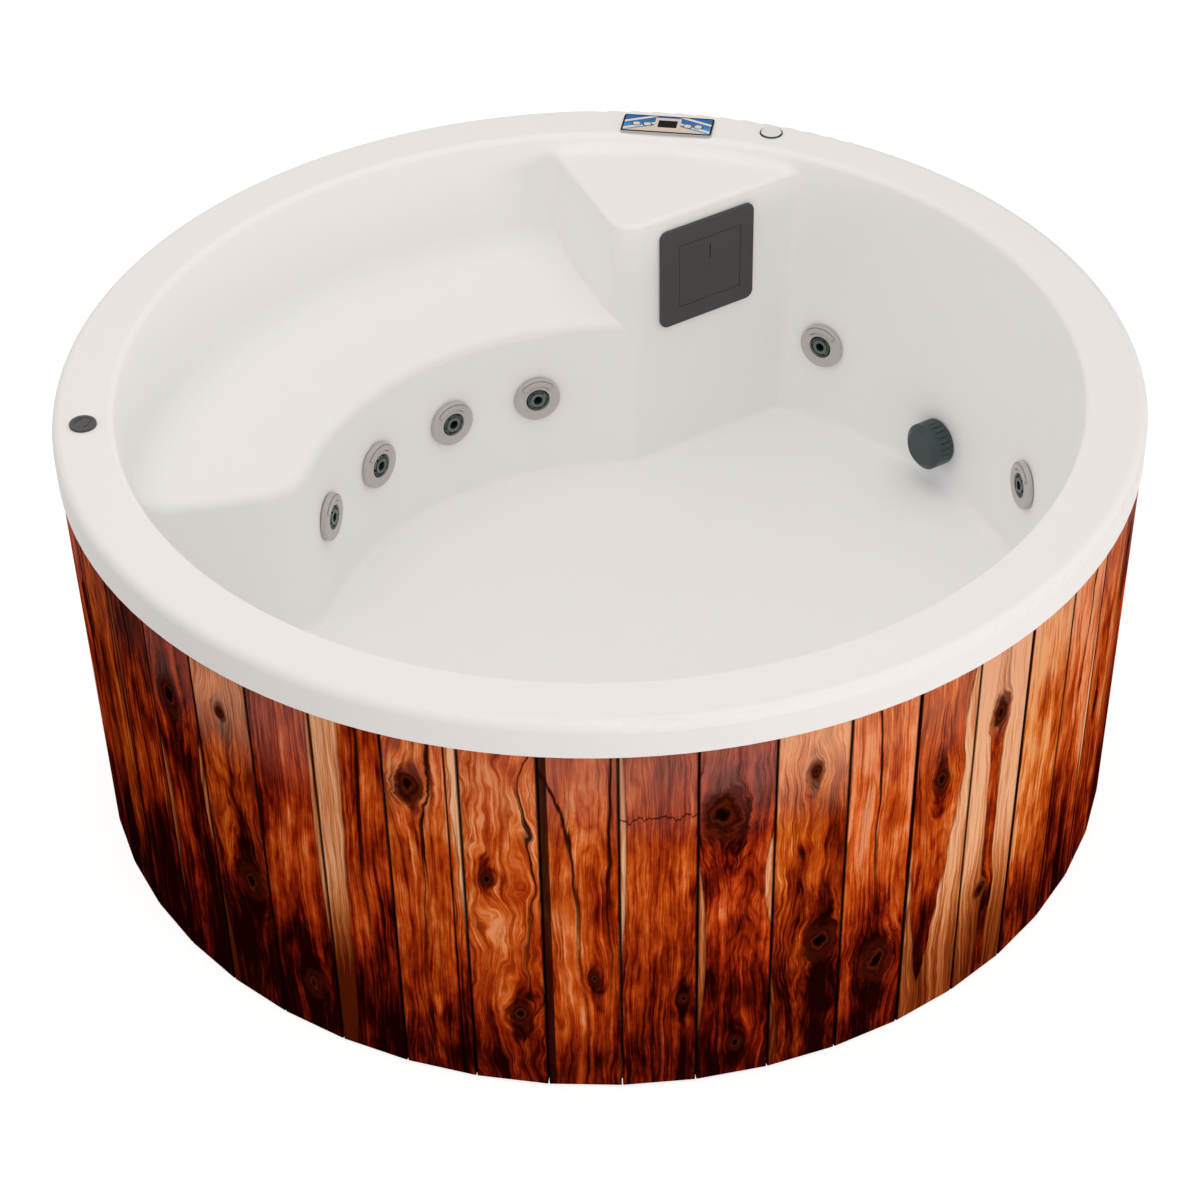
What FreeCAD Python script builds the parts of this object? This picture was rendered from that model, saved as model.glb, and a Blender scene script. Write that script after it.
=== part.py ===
import FreeCAD, Part
import math
import os
from FreeCAD import Placement, Rotation, Vector

# Round hot tub, millimetres, +Z up. The origin is the centre of the base.
# The pedestal with the skimmer is at the back (+Y) and the bench curves round the left (-X).

# Moulded shell
RIM_RADIUS = 850.0
TUB_HEIGHT = 720.0
RIM_WIDTH = 95.0
RIM_INNER_ROUND = 10.0
LIP_HEIGHT = 58.0
LIP_ROUND = 16.0
SHELL_WALL = 7.0
FLOOR_HEIGHT = 195.0
WALL_DRAFT = 25.0
FLOOR_ROUND = 14.0
CORNER_ROUND = 18.0

# Bench, whose riser is a cone about its own centre
BENCH_RISE = 300.0
BENCH_DEPTH = 223.0
RISER_CENTRE_X = 32.0
RISER_CENTRE_Y = -28.0
RISER_DRAFT = 10.0
BENCH_EDGE_ROUND = 18.0
BENCH_COVE = 60.0
BENCH_COVE_OVERRUN = 0.3
BENCH_END_TURN = 176.13
BENCH_END_SET_BACK = 12.2
BENCH_END_ANGLE = 190.7
BENCH_END_ROUND = 90.0

# Pedestal, a wedge whose front corner points at the footwell
PEDESTAL_DROP = 32.0
PEDESTAL_TURN = 89.07
PEDESTAL_REACH = 12.4
PEDESTAL_FACE_ANGLE = 32.8
PEDESTAL_SIDE_ANGLE = 111.8
PEDESTAL_CORNER_ROUND = 42.0
PEDESTAL_TOP_ROUND = 8.0
PEDESTAL_FOOT_ROUND = 30.0

# Skirt of upright staves
STAVE_COUNT = 48
STAVE_PHASE = 1.07
STAVE_THICKNESS = 16.0
STAVE_JOINT = 1.6
STAVE_SET_BACK = 4.0
STAVE_TAPER = 8.0
STAVE_TOP_GAP = 1.0
STAVE_FOOT_HEIGHT = 4.0

# Timber frame and base
BASE_THICKNESS = 12.0
RAIL_HEIGHT = 40.0
RAIL_DEPTH = 16.0
TOP_RAIL_DROP = 62.0
RAIL_GAP = 0.3
POST_COUNT = 8
POST_WIDTH = 60.0
POST_THICKNESS = 20.0
BEARER_COUNT = 4
BEARER_WIDTH = 45.0
BEARER_SPACING = 210.0
BEARER_FIRST_Y = -470.0
BEARER_END_GAP = 90.0

# Hydro jets
JET_DROP = 137.0
BENCH_JET_ANGLES = (163.1, 144.5, 125.0, 106.3)
WALL_JET_ANGLES = (56.6, 13.7)
JET_FACE_RADIUS = 41.0
JET_FACE_HEIGHT = 12.0
JET_FACE_ROUND = 3.0
JET_MOUTH_RADIUS = 21.6
JET_BARREL_RADIUS = 24.0
JET_BARREL_DEPTH = 13.0
JET_BODY_RADIUS = 28.5
JET_BODY_DEPTH = 50.0
JET_FLANGE_RADIUS = 33.0
JET_FLANGE_THICKNESS = 3.0
JET_BALL_RADIUS = 20.5
JET_BALL_CENTRE = 2.0
JET_NOZZLE_RADIUS = 14.0
JET_NOZZLE_BORE = 8.0
JET_NOZZLE_REACH = 10.0
JET_DISH_INNER_RADIUS = 14.0
JET_DISH_OUTER_RADIUS = 16.5
JET_DISH_FLOOR = 5.0
JET_PIN_RADIUS = 2.0
JET_GRIP_INNER_RADIUS = 29.0
JET_GRIP_HEIGHT = 2.0
JET_GRIP_ARC = 95.0
JET_GRIP_GROOVE = 1.2
JET_NOTCHES = 6
JET_NOTCH_WIDTH = 4.0
NUT_THICKNESS = 9.0
NUT_MARGIN = 9.0
RIM_NUT_MARGIN = 5.0
GASKET_THICKNESS = 3.0

# Suction fitting low on the wall
SUCTION_ANGLE = 35.1
SUCTION_DROP = 80.0
SUCTION_RADIUS = 42.0
SUCTION_LENGTH = 46.0
SUCTION_FACE_RADIUS = 31.0
SUCTION_CHAMFER = 9.0
SUCTION_WALL = 3.0
SUCTION_BODY_RADIUS = 30.0
SUCTION_BODY_DEPTH = 62.0
SUCTION_SET_BACK = 38.0
SUCTION_FLANGE_RADIUS = 38.0
SUCTION_SLOTS = 24
SUCTION_SLOT_WIDTH = 1.2
SUCTION_SLOT_LENGTH = 22.0

# Skimmer on the pedestal face
SKIMMER_ALONG = 178.0
SKIMMER_DROP = 124.0
PLATE_WIDTH = 196.5
PLATE_HEIGHT = 192.0
PLATE_THICKNESS = 6.0
PLATE_CORNER = 15.0
PLATE_EDGE = 2.0
PLATE_GASKET_INSET = 4.0
DOOR_WIDTH = 128.0
DOOR_HEIGHT = 122.0
DOOR_THICKNESS = 5.0
DOOR_X = 4.5
DOOR_Y = -1.0
DOOR_GAP = 1.0
DOOR_RECESS = 0.2
DOOR_SLOT_LENGTH = 30.0
DOOR_SLOT_WIDTH = 2.0
HINGE_PIN_RADIUS = 1.5
HINGE_KNUCKLE_RADIUS = 3.0
HINGE_RISE = 4.0
HINGE_TAB_WIDTH = 14.0
THROAT_MARGIN = 4.0
THROAT_DEPTH = 150.0
HOUSING_WALL = 4.0
CANISTER_RADIUS = 64.0
CANISTER_SET_BACK = 80.0
CANISTER_LENGTH = 206.0
CARTRIDGE_RADIUS = 52.0
CARTRIDGE_CORE = 20.0
CARTRIDGE_CAP = 9.0
CARTRIDGE_CAP_LIP = 2.0
CARTRIDGE_PLEATS = 30
CARTRIDGE_PLEAT_DEPTH = 11.0
CARTRIDGE_HEADROOM = 8.0

# Control panel on the rim
PANEL_ANGLE = 80.5
PANEL_INSET = 65.0
PANEL_WIDTH = 162.0
PANEL_DEPTH = 60.0
PANEL_HEIGHT = 5.0
PANEL_CORNER = 5.0
PANEL_FRAME = 3.5
PANEL_RECESS = 1.2
OVERLAY_THICKNESS = 1.0
DISPLAY_WIDTH = 46.0
DISPLAY_DEPTH = 42.0
DISPLAY_HEIGHT = 1.6
PANEL_BODY_WIDTH = 132.0
PANEL_BODY_DEPTH = 40.0
PANEL_BODY_DROP = 26.0
BUTTON_LENGTH = 13.0
BUTTON_WIDTH = 10.0
BUTTON_X = (-55.0, -36.0, 36.0, 55.0)
BUTTON_Y = -3.0
BUTTON_PROUD = 1.2
BUTTON_HEIGHT = 3.0
BUTTON_TRAVEL = 0.8

# Air button on the rim
AIR_BUTTON_ANGLE = 67.3
AIR_BUTTON_INSET = 42.0
AIR_BUTTON_FLANGE = 20.5
AIR_BUTTON_FLANGE_HEIGHT = 2.4
AIR_BUTTON_BODY = 19.6
AIR_BUTTON_CAP = 18.0
AIR_BUTTON_PROUD = 1.2
AIR_BUTTON_TRAVEL = 4.0
AIR_BUTTON_DROP = 42.0
AIR_BUTTON_WALL = 2.0
AIR_BUTTON_CAP_ROUND = 1.5
BELLOWS_RADIUS = 13.0
BELLOWS_FOLD = 3.0
BELLOWS_COUNT = 4

# Air control knob on the rim
KNOB_ANGLE = 188.8
KNOB_INSET = 49.0
KNOB_RADIUS = 21.0
KNOB_HEIGHT = 2.8
KNOB_DISH_RADIUS = 15.0
KNOB_DISH_DEPTH = 0.8
KNOB_EDGE = 1.0
KNOB_SLOT_COUNT = 2
KNOB_SLOT_ARC = 100.0
KNOB_SLOT_WIDTH = 3.0
KNOB_STEM_RADIUS = 6.0
VALVE_RADIUS = 17.0
VALVE_FLANGE_THICKNESS = 1.2
VALVE_DROP = 55.0
VALVE_OUTLET_OFFSET = 8.0

# Pump, heater and controls under the bench
PUMP_HEIGHT = 115.0
PUMP_AXIS_ANGLE = 193.0
PUMP_INLET_RUN = 330.0
VOLUTE_RADIUS = 78.0
VOLUTE_LENGTH = 66.0
VOLUTE_WALL = 6.0
MOTOR_RADIUS = 66.0
MOTOR_LENGTH = 230.0
MOTOR_FINS = 24
MOTOR_FIN_HEIGHT = 6.0
MOTOR_FIN_LENGTH = 160.0
MOTOR_FOOT_WIDTH = 66.0
MOTOR_FOOT_LENGTH = 34.0
IMPELLER_RADIUS = 60.0
IMPELLER_BLADES = 6
IMPELLER_BLADE_CURVE = 36.0
SHAFT_RADIUS = 8.0
HEATER_RADIUS = 30.0
HEATER_LENGTH = 300.0
HEATER_RISE = 62.0
HEATER_ANGLE = 218.0
HEATER_START = 75.0
HEATER_BOX_LENGTH = 90.0
CONTROL_ANGLE = 168.0
CONTROL_GAP = 41.0
CONTROL_SIZE = (200.0, 110.0, 230.0)
CONTROL_ROUND = 8.0

# Plumbing
WATER_PIPE_RADIUS = 12.5
AIR_PIPE_RADIUS = 8.0
SUCTION_PIPE_RADIUS = 20.0
PIPE_WALL = 2.5
WATER_DROP = 10.0
AIR_RISE = 14.0
PIPE_SET_BACK = 33.0
PIPE_BEND = 45.0
OUTLET_PIPE_RADIUS = 11.0
OUTLET_STRAIGHT = 1.0
AIR_BEND = 18.0
BEND_RUN = 72.0
HEADER_LEAVE_TURN = 7.0
HEADER_JOIN_TURN = 8.0
WATER_END_TURN = 1.0
AIR_END_TURN = 5.0
FEED_TURNS = (2.0, 4.5, 12.0)

# Cable gland in one stave at the back
GLAND_STAVE_INDEX = 17
GLAND_HEIGHT = 95.0
GLAND_RADIUS = 10.0
GLAND_BORE = 6.5
GLAND_HEAD_RADIUS = 13.0
GLAND_HEAD = 8.0
GLAND_NUT = 6.0
GLAND_TAIL = 14.0

# Clearances
RUN_FIT = 0.05
LOOSE_FIT = 0.5
OVERSHOOT = 1.0
SIDE_GAP = 0.3
SEAT_GAP = 0.1

FAR = 2.0 * RIM_RADIUS
ORIGIN = Vector(0, 0, 0)
UP = Vector(0, 0, 1)
RISER_CENTRE = Vector(RISER_CENTRE_X, RISER_CENTRE_Y, 0)
RIM_INNER_RADIUS = RIM_RADIUS - RIM_WIDTH
RIM_UNDERSIDE = TUB_HEIGHT - SHELL_WALL
LIP_FOOT = TUB_HEIGHT - LIP_HEIGHT
FLOOR_RADIUS = RIM_INNER_RADIUS - WALL_DRAFT
RISER_RADIUS = FLOOR_RADIUS - BENCH_DEPTH
BENCH_HEIGHT = FLOOR_HEIGHT + BENCH_RISE
PEDESTAL_HEIGHT = TUB_HEIGHT - PEDESTAL_DROP
SKIMMER_HEIGHT = PEDESTAL_HEIGHT - SKIMMER_DROP
JET_HEIGHT = BENCH_HEIGHT - JET_DROP
SUCTION_HEIGHT = JET_HEIGHT - SUCTION_DROP
STAVE_TOP_RADIUS = RIM_RADIUS - STAVE_SET_BACK
STAVE_FOOT_RADIUS = STAVE_TOP_RADIUS - STAVE_TAPER
POST_OUTER_RADIUS = STAVE_FOOT_RADIUS - STAVE_THICKNESS - RAIL_DEPTH
TOP_RAIL_HEIGHT = LIP_FOOT - TOP_RAIL_DROP
WALL_SLOPE = (RIM_INNER_RADIUS - FLOOR_RADIUS) / (TUB_HEIGHT - FLOOR_HEIGHT)
RISER_SLOPE = RISER_DRAFT / (BENCH_HEIGHT - FLOOR_HEIGHT)
JET_FLANGE_FRONT = GASKET_THICKNESS + JET_FLANGE_THICKNESS
POST_INNER_RADIUS = POST_OUTER_RADIUS - POST_THICKNESS
CONTROL_RADIUS = POST_INNER_RADIUS - CONTROL_GAP - CONTROL_SIZE[1] / 2


def unit(angle):
    """Horizontal unit vector at an angle in degrees."""
    return Vector(math.cos(math.radians(angle)), math.sin(math.radians(angle)), 0)


def polar(radius, angle, z):
    """Point about the tub's axis."""
    return unit(angle) * radius + UP * z


PEDESTAL_TIP = RISER_CENTRE + unit(PEDESTAL_TURN) * (RISER_RADIUS - PEDESTAL_REACH)
BENCH_END = RISER_CENTRE + unit(BENCH_END_TURN) * (RISER_RADIUS + BENCH_END_SET_BACK)


def wall_radius(z):
    return FLOOR_RADIUS + WALL_SLOPE * (z - FLOOR_HEIGHT)


def riser_radius(z):
    return RISER_RADIUS + RISER_SLOPE * (z - FLOOR_HEIGHT)


def frame_at(point, z_axis, x_axis):
    """Placement whose local Z and X follow two directions at a point."""
    return Placement(point, Rotation(x_axis, z_axis.cross(x_axis), z_axis, "ZXY"))


def placed(shape, frame):
    return shape.transformed(frame.toMatrix(), True)


def face_of(edges):
    return Part.Face(Part.Wire(edges))


def polygon(points):
    return Part.Face(Part.makePolygon(points + [points[0]]))


def prism(points, bottom, top):
    """Upright prism over a plan outline."""
    return polygon([Vector(p.x, p.y, bottom) for p in points]).extrude(UP * (top - bottom))


def turned(profile):
    """Solid of revolution about local Z, from (radius, z) corners."""
    points = [Vector(radius, 0, z) for radius, z in profile]
    return polygon(points).revolve(ORIGIN, UP, 360)


def ring(inner, outer, bottom, top):
    return turned([(inner, bottom), (outer, bottom), (outer, top), (inner, top)])


def disc(radius, bottom, top):
    return Part.makeCylinder(radius, top - bottom, UP * bottom)


def slab(width, depth, bottom, top, centre=ORIGIN):
    corner = Vector(centre.x - width / 2, centre.y - depth / 2, bottom)
    return Part.makeBox(width, depth, top - bottom, corner)


def upright_edges(shape):
    """Straight edges along local Z."""
    return [edge for edge in shape.Edges if edge.BoundBox.ZLength > 0.999 * edge.Length]


def rounded_slab(width, depth, bottom, top, corner, centre=ORIGIN):
    box = slab(width, depth, bottom, top, centre)
    return box.makeFillet(corner, upright_edges(box))


def level_edges(shape, z):
    """Edges that lie in the plane at one height."""
    return [e for e in shape.Edges if abs(e.BoundBox.ZMin - z) < 0.01 and abs(e.BoundBox.ZMax - z) < 0.01]


def edges_near(shape, point, reach, least_rise):
    """Rising edges whose middle is near a plan point."""
    found = []
    for edge in shape.Edges:
        middle = edge.CenterOfMass
        offset = math.hypot(middle.x - point.x, middle.y - point.y)
        if edge.BoundBox.ZLength > least_rise and offset < reach:
            found.append(edge)
    return found


def bent_path(points, bend):
    """Wire of straight runs joined by tangent arcs."""
    edges = []
    start = points[0]
    for before, corner, after in zip(points, points[1:], points[2:]):
        inward = (before - corner).normalize()
        outward = (after - corner).normalize()
        half = inward.getAngle(outward) / 2
        reach = bend / math.tan(half)
        middle = (inward + outward).normalize()
        first = corner + inward * reach
        last = corner + outward * reach
        top = corner + middle * (bend / math.sin(half) - bend)
        edges.append(Part.makeLine(start, first))
        edges.append(Part.Arc(first, top, last).toShape())
        start = last
    edges.append(Part.makeLine(start, points[-1]))
    return Part.Wire(edges)


def rod_along(wire, radius):
    """Solid rod swept along a wire."""
    first = wire.OrderedEdges[0]
    start = first.valueAt(first.FirstParameter)
    tangent = first.tangentAt(first.FirstParameter)
    circle = Part.Wire(Part.makeCircle(radius, start, tangent))
    return wire.makePipeShell([circle], True, False)


def tube_along(wire, radius):
    """Pipe swept along a wire, as its wall and its bore."""
    bore = rod_along(wire, radius - PIPE_WALL)
    return rod_along(wire, radius).cut(bore), bore


# Shell

def wall_cone(offset, bottom, top):
    """The tub's round wall, moved outward by an offset."""
    radii = [wall_radius(z) + offset for z in (bottom, top)]
    return Part.makeCone(radii[0], radii[1], top - bottom, UP * bottom)


def bench_block(offset):
    """What the bench takes out of the tub, drawn in by an offset."""
    face = unit(PEDESTAL_FACE_ANGLE)
    behind_face = PEDESTAL_TIP + unit(PEDESTAL_FACE_ANGLE + 90) * offset
    end = unit(BENCH_END_ANGLE)
    behind_end = BENCH_END + unit(BENCH_END_ANGLE - 90) * offset
    plan = [behind_face - face * RISER_RADIUS / 8, behind_face + face * FAR]
    plan += [Vector(0, 2 * FAR, 0), Vector(-2 * FAR, FAR, 0)]
    plan += [behind_end + end * FAR, behind_end - end * RISER_RADIUS / 3]
    block = prism(plan, 0, TUB_HEIGHT + FAR).common(bench_top(offset))
    top = BENCH_HEIGHT - offset
    reach = TUB_HEIGHT + FAR
    riser = Part.makeCone(riser_radius(0) + offset, riser_radius(reach) + offset, reach, RISER_CENTRE)
    block = block.cut(riser)
    block = block.makeFillet(BENCH_END_ROUND - offset, sharp_uprights(block, behind_end))
    block = block.makeFillet(PEDESTAL_FOOT_ROUND - offset, sharp_uprights(block, behind_face))
    rim = [edge for edge in level_edges(block, top) if is_riser_edge(edge)]
    return block.makeFillet(BENCH_EDGE_ROUND - offset, rim)


def bench_top(offset):
    """Seat and its cove, turned about the tub's axis and ending just behind the wall."""
    seat = BENCH_HEIGHT - offset
    cove = BENCH_COVE + offset
    back = wall_radius(BENCH_HEIGHT + BENCH_COVE) + BENCH_COVE_OVERRUN + offset
    above = TUB_HEIGHT + SHELL_WALL
    start = Vector(back - cove, 0, seat)
    end = Vector(back, 0, seat + cove)
    middle = Vector(back - cove, 0, seat + cove) + Vector(1, 0, -1).normalize() * cove
    top = Vector(wall_radius(above) + BENCH_EDGE_ROUND + offset, 0, above)
    corners = [end, top, Vector(3 * FAR, 0, above), Vector(3 * FAR, 0, 0), ORIGIN, UP * seat, start]
    edges = [Part.makeLine(a, b) for a, b in zip(corners, corners[1:])]
    edges.append(Part.Arc(start, middle, end).toShape())
    return face_of(Part.__sortEdges__(edges)).revolve(ORIGIN, UP, 360)


def is_riser_edge(edge):
    if edge.Curve.TypeId != "Part::GeomCircle":
        return False
    return (edge.Curve.Center - RISER_CENTRE).dot(Vector(1, 1, 0)) ** 2 < 0.01


def sharp_uprights(block, point):
    """The rising edge of the riser that is nearest to a plan point."""
    rising = [e for e in block.Edges if e.BoundBox.ZLength > BENCH_HEIGHT / 2]
    flat = [Vector(e.CenterOfMass.x, e.CenterOfMass.y, 0) for e in rising]
    distances = [(spot - point).Length for spot in flat]
    return [rising[distances.index(min(distances))]]


def pedestal_block(offset):
    """What the pedestal takes out of the tub, drawn in by an offset."""
    half = (PEDESTAL_SIDE_ANGLE - PEDESTAL_FACE_ANGLE) / 2
    tip = PEDESTAL_TIP + unit(PEDESTAL_FACE_ANGLE + half) * (offset / math.sin(math.radians(half)))
    face = unit(PEDESTAL_FACE_ANGLE) * FAR
    side = unit(PEDESTAL_SIDE_ANGLE) * FAR
    top = PEDESTAL_HEIGHT - offset
    block = prism([tip, tip + face, tip + face + side, tip + side], 0, top)
    block = block.makeFillet(PEDESTAL_CORNER_ROUND - offset, edges_near(block, tip, 1, top / 2))
    corner = [edge for edge in level_edges(block, top) if edge.Curve.TypeId == "Part::GeomCircle"]
    return block.makeFillet(PEDESTAL_TOP_ROUND - offset, corner)


def cavity(offset):
    """The water space, moved outward by an offset."""
    space = wall_cone(offset, FLOOR_HEIGHT - offset, TUB_HEIGHT)
    return space.cut(bench_block(offset).fuse(pedestal_block(offset))).removeSplitter()


def wall_corner():
    """Plan point where the pedestal face meets the wall at mid height."""
    direction = unit(PEDESTAL_FACE_ANGLE)
    along = PEDESTAL_TIP.dot(direction)
    radius = wall_radius((FLOOR_HEIGHT + BENCH_HEIGHT) / 2)
    return PEDESTAL_TIP + direction * (math.sqrt(along ** 2 - PEDESTAL_TIP.Length ** 2 + radius ** 2) - along)


def rounded_cavity():
    """The water space with its inner corners rounded."""
    space = cavity(0)
    space = space.makeFillet(CORNER_ROUND, edges_near(space, wall_corner(), CORNER_ROUND, CORNER_ROUND * 3))
    return space.makeFillet(FLOOR_ROUND, level_edges(space, FLOOR_HEIGHT))


def rim_with_lip():
    inside = RIM_RADIUS - SHELL_WALL
    outer = disc(RIM_RADIUS, LIP_FOOT, TUB_HEIGHT)
    outer = outer.makeFillet(LIP_ROUND, level_edges(outer, TUB_HEIGHT))
    hollow = disc(inside, LIP_FOOT, RIM_UNDERSIDE)
    hollow = hollow.makeFillet(LIP_ROUND - SHELL_WALL, level_edges(hollow, RIM_UNDERSIDE))
    return outer.cut(hollow)


def make_shell(cutters):
    shell = cavity(SHELL_WALL).fuse(rim_with_lip()).cut(rounded_cavity())
    reach = RIM_INNER_RADIUS + OVERSHOOT
    mouth = [edge for edge in level_edges(shell, TUB_HEIGHT) if edge.Curve.Radius < reach]
    shell = shell.makeFillet(RIM_INNER_ROUND, mouth)
    return shell.cut(Part.Compound(cutters)).removeSplitter()


def floor_zone():
    """Space over and under the flat of the floor, inside its rounded corners."""
    inset = FLOOR_ROUND + SHELL_WALL
    space = cavity(-inset)
    flat = [face for face in space.Faces if face.BoundBox.ZMax < FLOOR_HEIGHT + inset + OVERSHOOT][0]
    return flat.extrude(UP * -(inset + SHELL_WALL * 2))


def pedestal_zone():
    """Space that holds the pedestal's sides and top, short of the corner with the wall."""
    side = unit(PEDESTAL_SIDE_ANGLE)
    face = unit(PEDESTAL_FACE_ANGLE) * FAR
    tip = PEDESTAL_TIP - side * (2 * (FLOOR_ROUND + SHELL_WALL))
    wedge = prism([tip, tip + face, tip + face + side * FAR, tip + side * FAR], 0, FAR)
    return wedge.common(disc(FLOOR_RADIUS - CORNER_ROUND - SHELL_WALL, 0, FAR))


def bench_zone():
    """Space that holds the riser and the flat of the seat, short of its cove."""
    back = wall_radius(BENCH_HEIGHT + BENCH_COVE) + BENCH_COVE_OVERRUN
    return disc(back - BENCH_COVE - SHELL_WALL / 2, 0, FAR)


def zoned(shell):
    """The one moulding as touching zones, each simple enough to stand for itself."""
    zones = []
    for space in (floor_zone(), pedestal_zone(), bench_zone()):
        zones += shell.common(space).Solids
        shell = shell.cut(space)
    return Part.Compound(zones + shell.Solids)


# Skirt, base and frame

def stave(index):
    """One flat board with a taper, standing on its foot."""
    step = 360.0 / STAVE_COUNT
    middle = unit(-90 + STAVE_PHASE + step * (index + 0.5))
    side = UP.cross(middle)
    slope = math.tan(math.radians(step / 2))
    wires = []
    for z, front in ((STAVE_FOOT_HEIGHT, STAVE_FOOT_RADIUS), (LIP_FOOT - STAVE_TOP_GAP, STAVE_TOP_RADIUS)):
        back = front - STAVE_THICKNESS
        corners = []
        for depth, sign in ((front, 1), (front, -1), (back, -1), (back, 1)):
            corners.append(middle * depth + side * sign * (depth * slope - STAVE_JOINT / 2) + UP * z)
        wires.append(Part.makePolygon(corners + [corners[0]]))
    return Part.makeLoft(wires, True, True)


def stave_inner_radius(z):
    share = (z - STAVE_FOOT_HEIGHT) / (LIP_FOOT - STAVE_TOP_GAP - STAVE_FOOT_HEIGHT)
    return STAVE_FOOT_RADIUS + (STAVE_TOP_RADIUS - STAVE_FOOT_RADIUS) * share - STAVE_THICKNESS


def rail(bottom):
    return ring(POST_OUTER_RADIUS, stave_inner_radius(bottom) - RAIL_GAP, bottom, bottom + RAIL_HEIGHT)


def make_posts():
    posts = []
    for index in range(POST_COUNT):
        post = Part.makeBox(POST_THICKNESS, POST_WIDTH, RIM_UNDERSIDE - BASE_THICKNESS)
        post.translate(Vector(POST_INNER_RADIUS, -POST_WIDTH / 2, BASE_THICKNESS))
        post = post.common(disc(POST_OUTER_RADIUS, 0, TUB_HEIGHT))
        post.rotate(ORIGIN, UP, 360.0 * index / POST_COUNT)
        posts.append(post)
    return Part.Compound(posts)


def make_bearers():
    """Joists between the base and the underside of the tub's floor."""
    bearers = []
    for index in range(BEARER_COUNT):
        y = BEARER_FIRST_Y + BEARER_SPACING * index
        bearer = slab(FAR, BEARER_WIDTH, BASE_THICKNESS, FLOOR_HEIGHT - SHELL_WALL, Vector(0, y, 0))
        bearer = bearer.common(disc(FLOOR_RADIUS - BEARER_END_GAP, 0, FLOOR_HEIGHT))
        clear = disc(RISER_RADIUS - BEARER_END_GAP / 2, 0, FLOOR_HEIGHT)
        clear.translate(RISER_CENTRE)
        right = slab(FAR, FAR, 0, FLOOR_HEIGHT, Vector(FAR / 2, 0, 0))
        bearers.append(bearer.common(clear.fuse(right)))
    return Part.Compound(bearers)


# Hydro jets, built with local Z pointing out of the wall into the water

def bench_seat(angle, z):
    point = RISER_CENTRE + unit(angle) * riser_radius(z) + UP * z
    return frame_at(point, (UP * RISER_SLOPE - unit(angle)).normalize(), unit(angle - 90))


def wall_seat(angle, z):
    point = polar(wall_radius(z), angle, z)
    return frame_at(point, (UP * WALL_SLOPE - unit(angle)).normalize(), unit(angle - 90))


JET_SEATS = [bench_seat(angle, JET_HEIGHT) for angle in BENCH_JET_ANGLES]
JET_SEATS += [wall_seat(angle, JET_HEIGHT) for angle in WALL_JET_ANGLES]
SUCTION_SEAT = wall_seat(SUCTION_ANGLE, SUCTION_HEIGHT)


def jet_face():
    """Turning ring with a barrel, a rounded edge and a finger grip."""
    back = GASKET_THICKNESS
    seat = JET_FLANGE_FRONT + SIDE_GAP
    body = disc(JET_FACE_RADIUS, back, JET_FACE_HEIGHT)
    body = body.makeFillet(JET_FACE_ROUND, level_edges(body, JET_FACE_HEIGHT))
    grip_top = JET_FACE_HEIGHT + JET_GRIP_HEIGHT
    grip = ring(JET_GRIP_INNER_RADIUS, JET_FACE_RADIUS - JET_FACE_ROUND, seat, grip_top)
    keep = Part.makeCylinder(JET_FACE_RADIUS, FAR, ORIGIN, UP, JET_GRIP_ARC)
    keep.rotate(ORIGIN, UP, 90 - JET_GRIP_ARC / 2)
    foot = JET_GRIP_INNER_RADIUS - JET_GRIP_GROOVE
    groove = ring(foot, JET_GRIP_INNER_RADIUS, JET_FACE_HEIGHT - JET_GRIP_GROOVE, FAR)
    body = body.fuse(grip.common(keep)).cut(groove.common(keep))
    body = body.cut(disc(JET_FLANGE_RADIUS + SIDE_GAP, back, seat))
    body = body.fuse(disc(JET_BARREL_RADIUS, -JET_BARREL_DEPTH, seat))
    bore = JET_BALL_RADIUS + 2 * SIDE_GAP
    body = body.cut(disc(bore, -JET_BARREL_DEPTH, JET_FACE_HEIGHT))
    flare_foot = JET_FACE_HEIGHT / 2
    flare = Part.makeCone(bore, JET_MOUTH_RADIUS, JET_FACE_HEIGHT - flare_foot, UP * flare_foot)
    return body.cut(flare).cut(trunnion(JET_PIN_RADIUS + RUN_FIT, JET_BARREL_RADIUS + SIDE_GAP))


def trunnion(radius, reach):
    """Cross pin through the ball's centre, along local Y."""
    return Part.makeCylinder(radius, 2 * reach, Vector(0, -reach, JET_BALL_CENTRE), Vector(0, 1, 0))


def jet_nozzle():
    """Ball with a short spout and two trunnion pins."""
    half = JET_BALL_RADIUS / 2
    ball = Part.makeSphere(JET_BALL_RADIUS).common(disc(JET_BALL_RADIUS, -half, half))
    nozzle = ball.fuse(disc(JET_NOZZLE_RADIUS, 0, JET_NOZZLE_REACH))
    dish = ring(JET_DISH_INNER_RADIUS, JET_DISH_OUTER_RADIUS, JET_DISH_FLOOR, JET_BALL_RADIUS)
    notches = []
    for index in range(JET_NOTCHES):
        notch = Part.makeBox(JET_BALL_RADIUS, JET_NOTCH_WIDTH, JET_BALL_RADIUS)
        notch.translate(Vector(JET_DISH_INNER_RADIUS, -JET_NOTCH_WIDTH / 2, JET_DISH_FLOOR))
        notch.rotate(ORIGIN, UP, 360.0 * index / JET_NOTCHES)
        notches.append(notch)
    nozzle = nozzle.cut(dish).cut(Part.Compound(notches))
    nozzle.translate(UP * JET_BALL_CENTRE)
    pins = trunnion(JET_PIN_RADIUS, JET_BARREL_RADIUS - SIDE_GAP)
    return nozzle.fuse(pins).cut(disc(JET_NOZZLE_BORE, -FAR, FAR))


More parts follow.
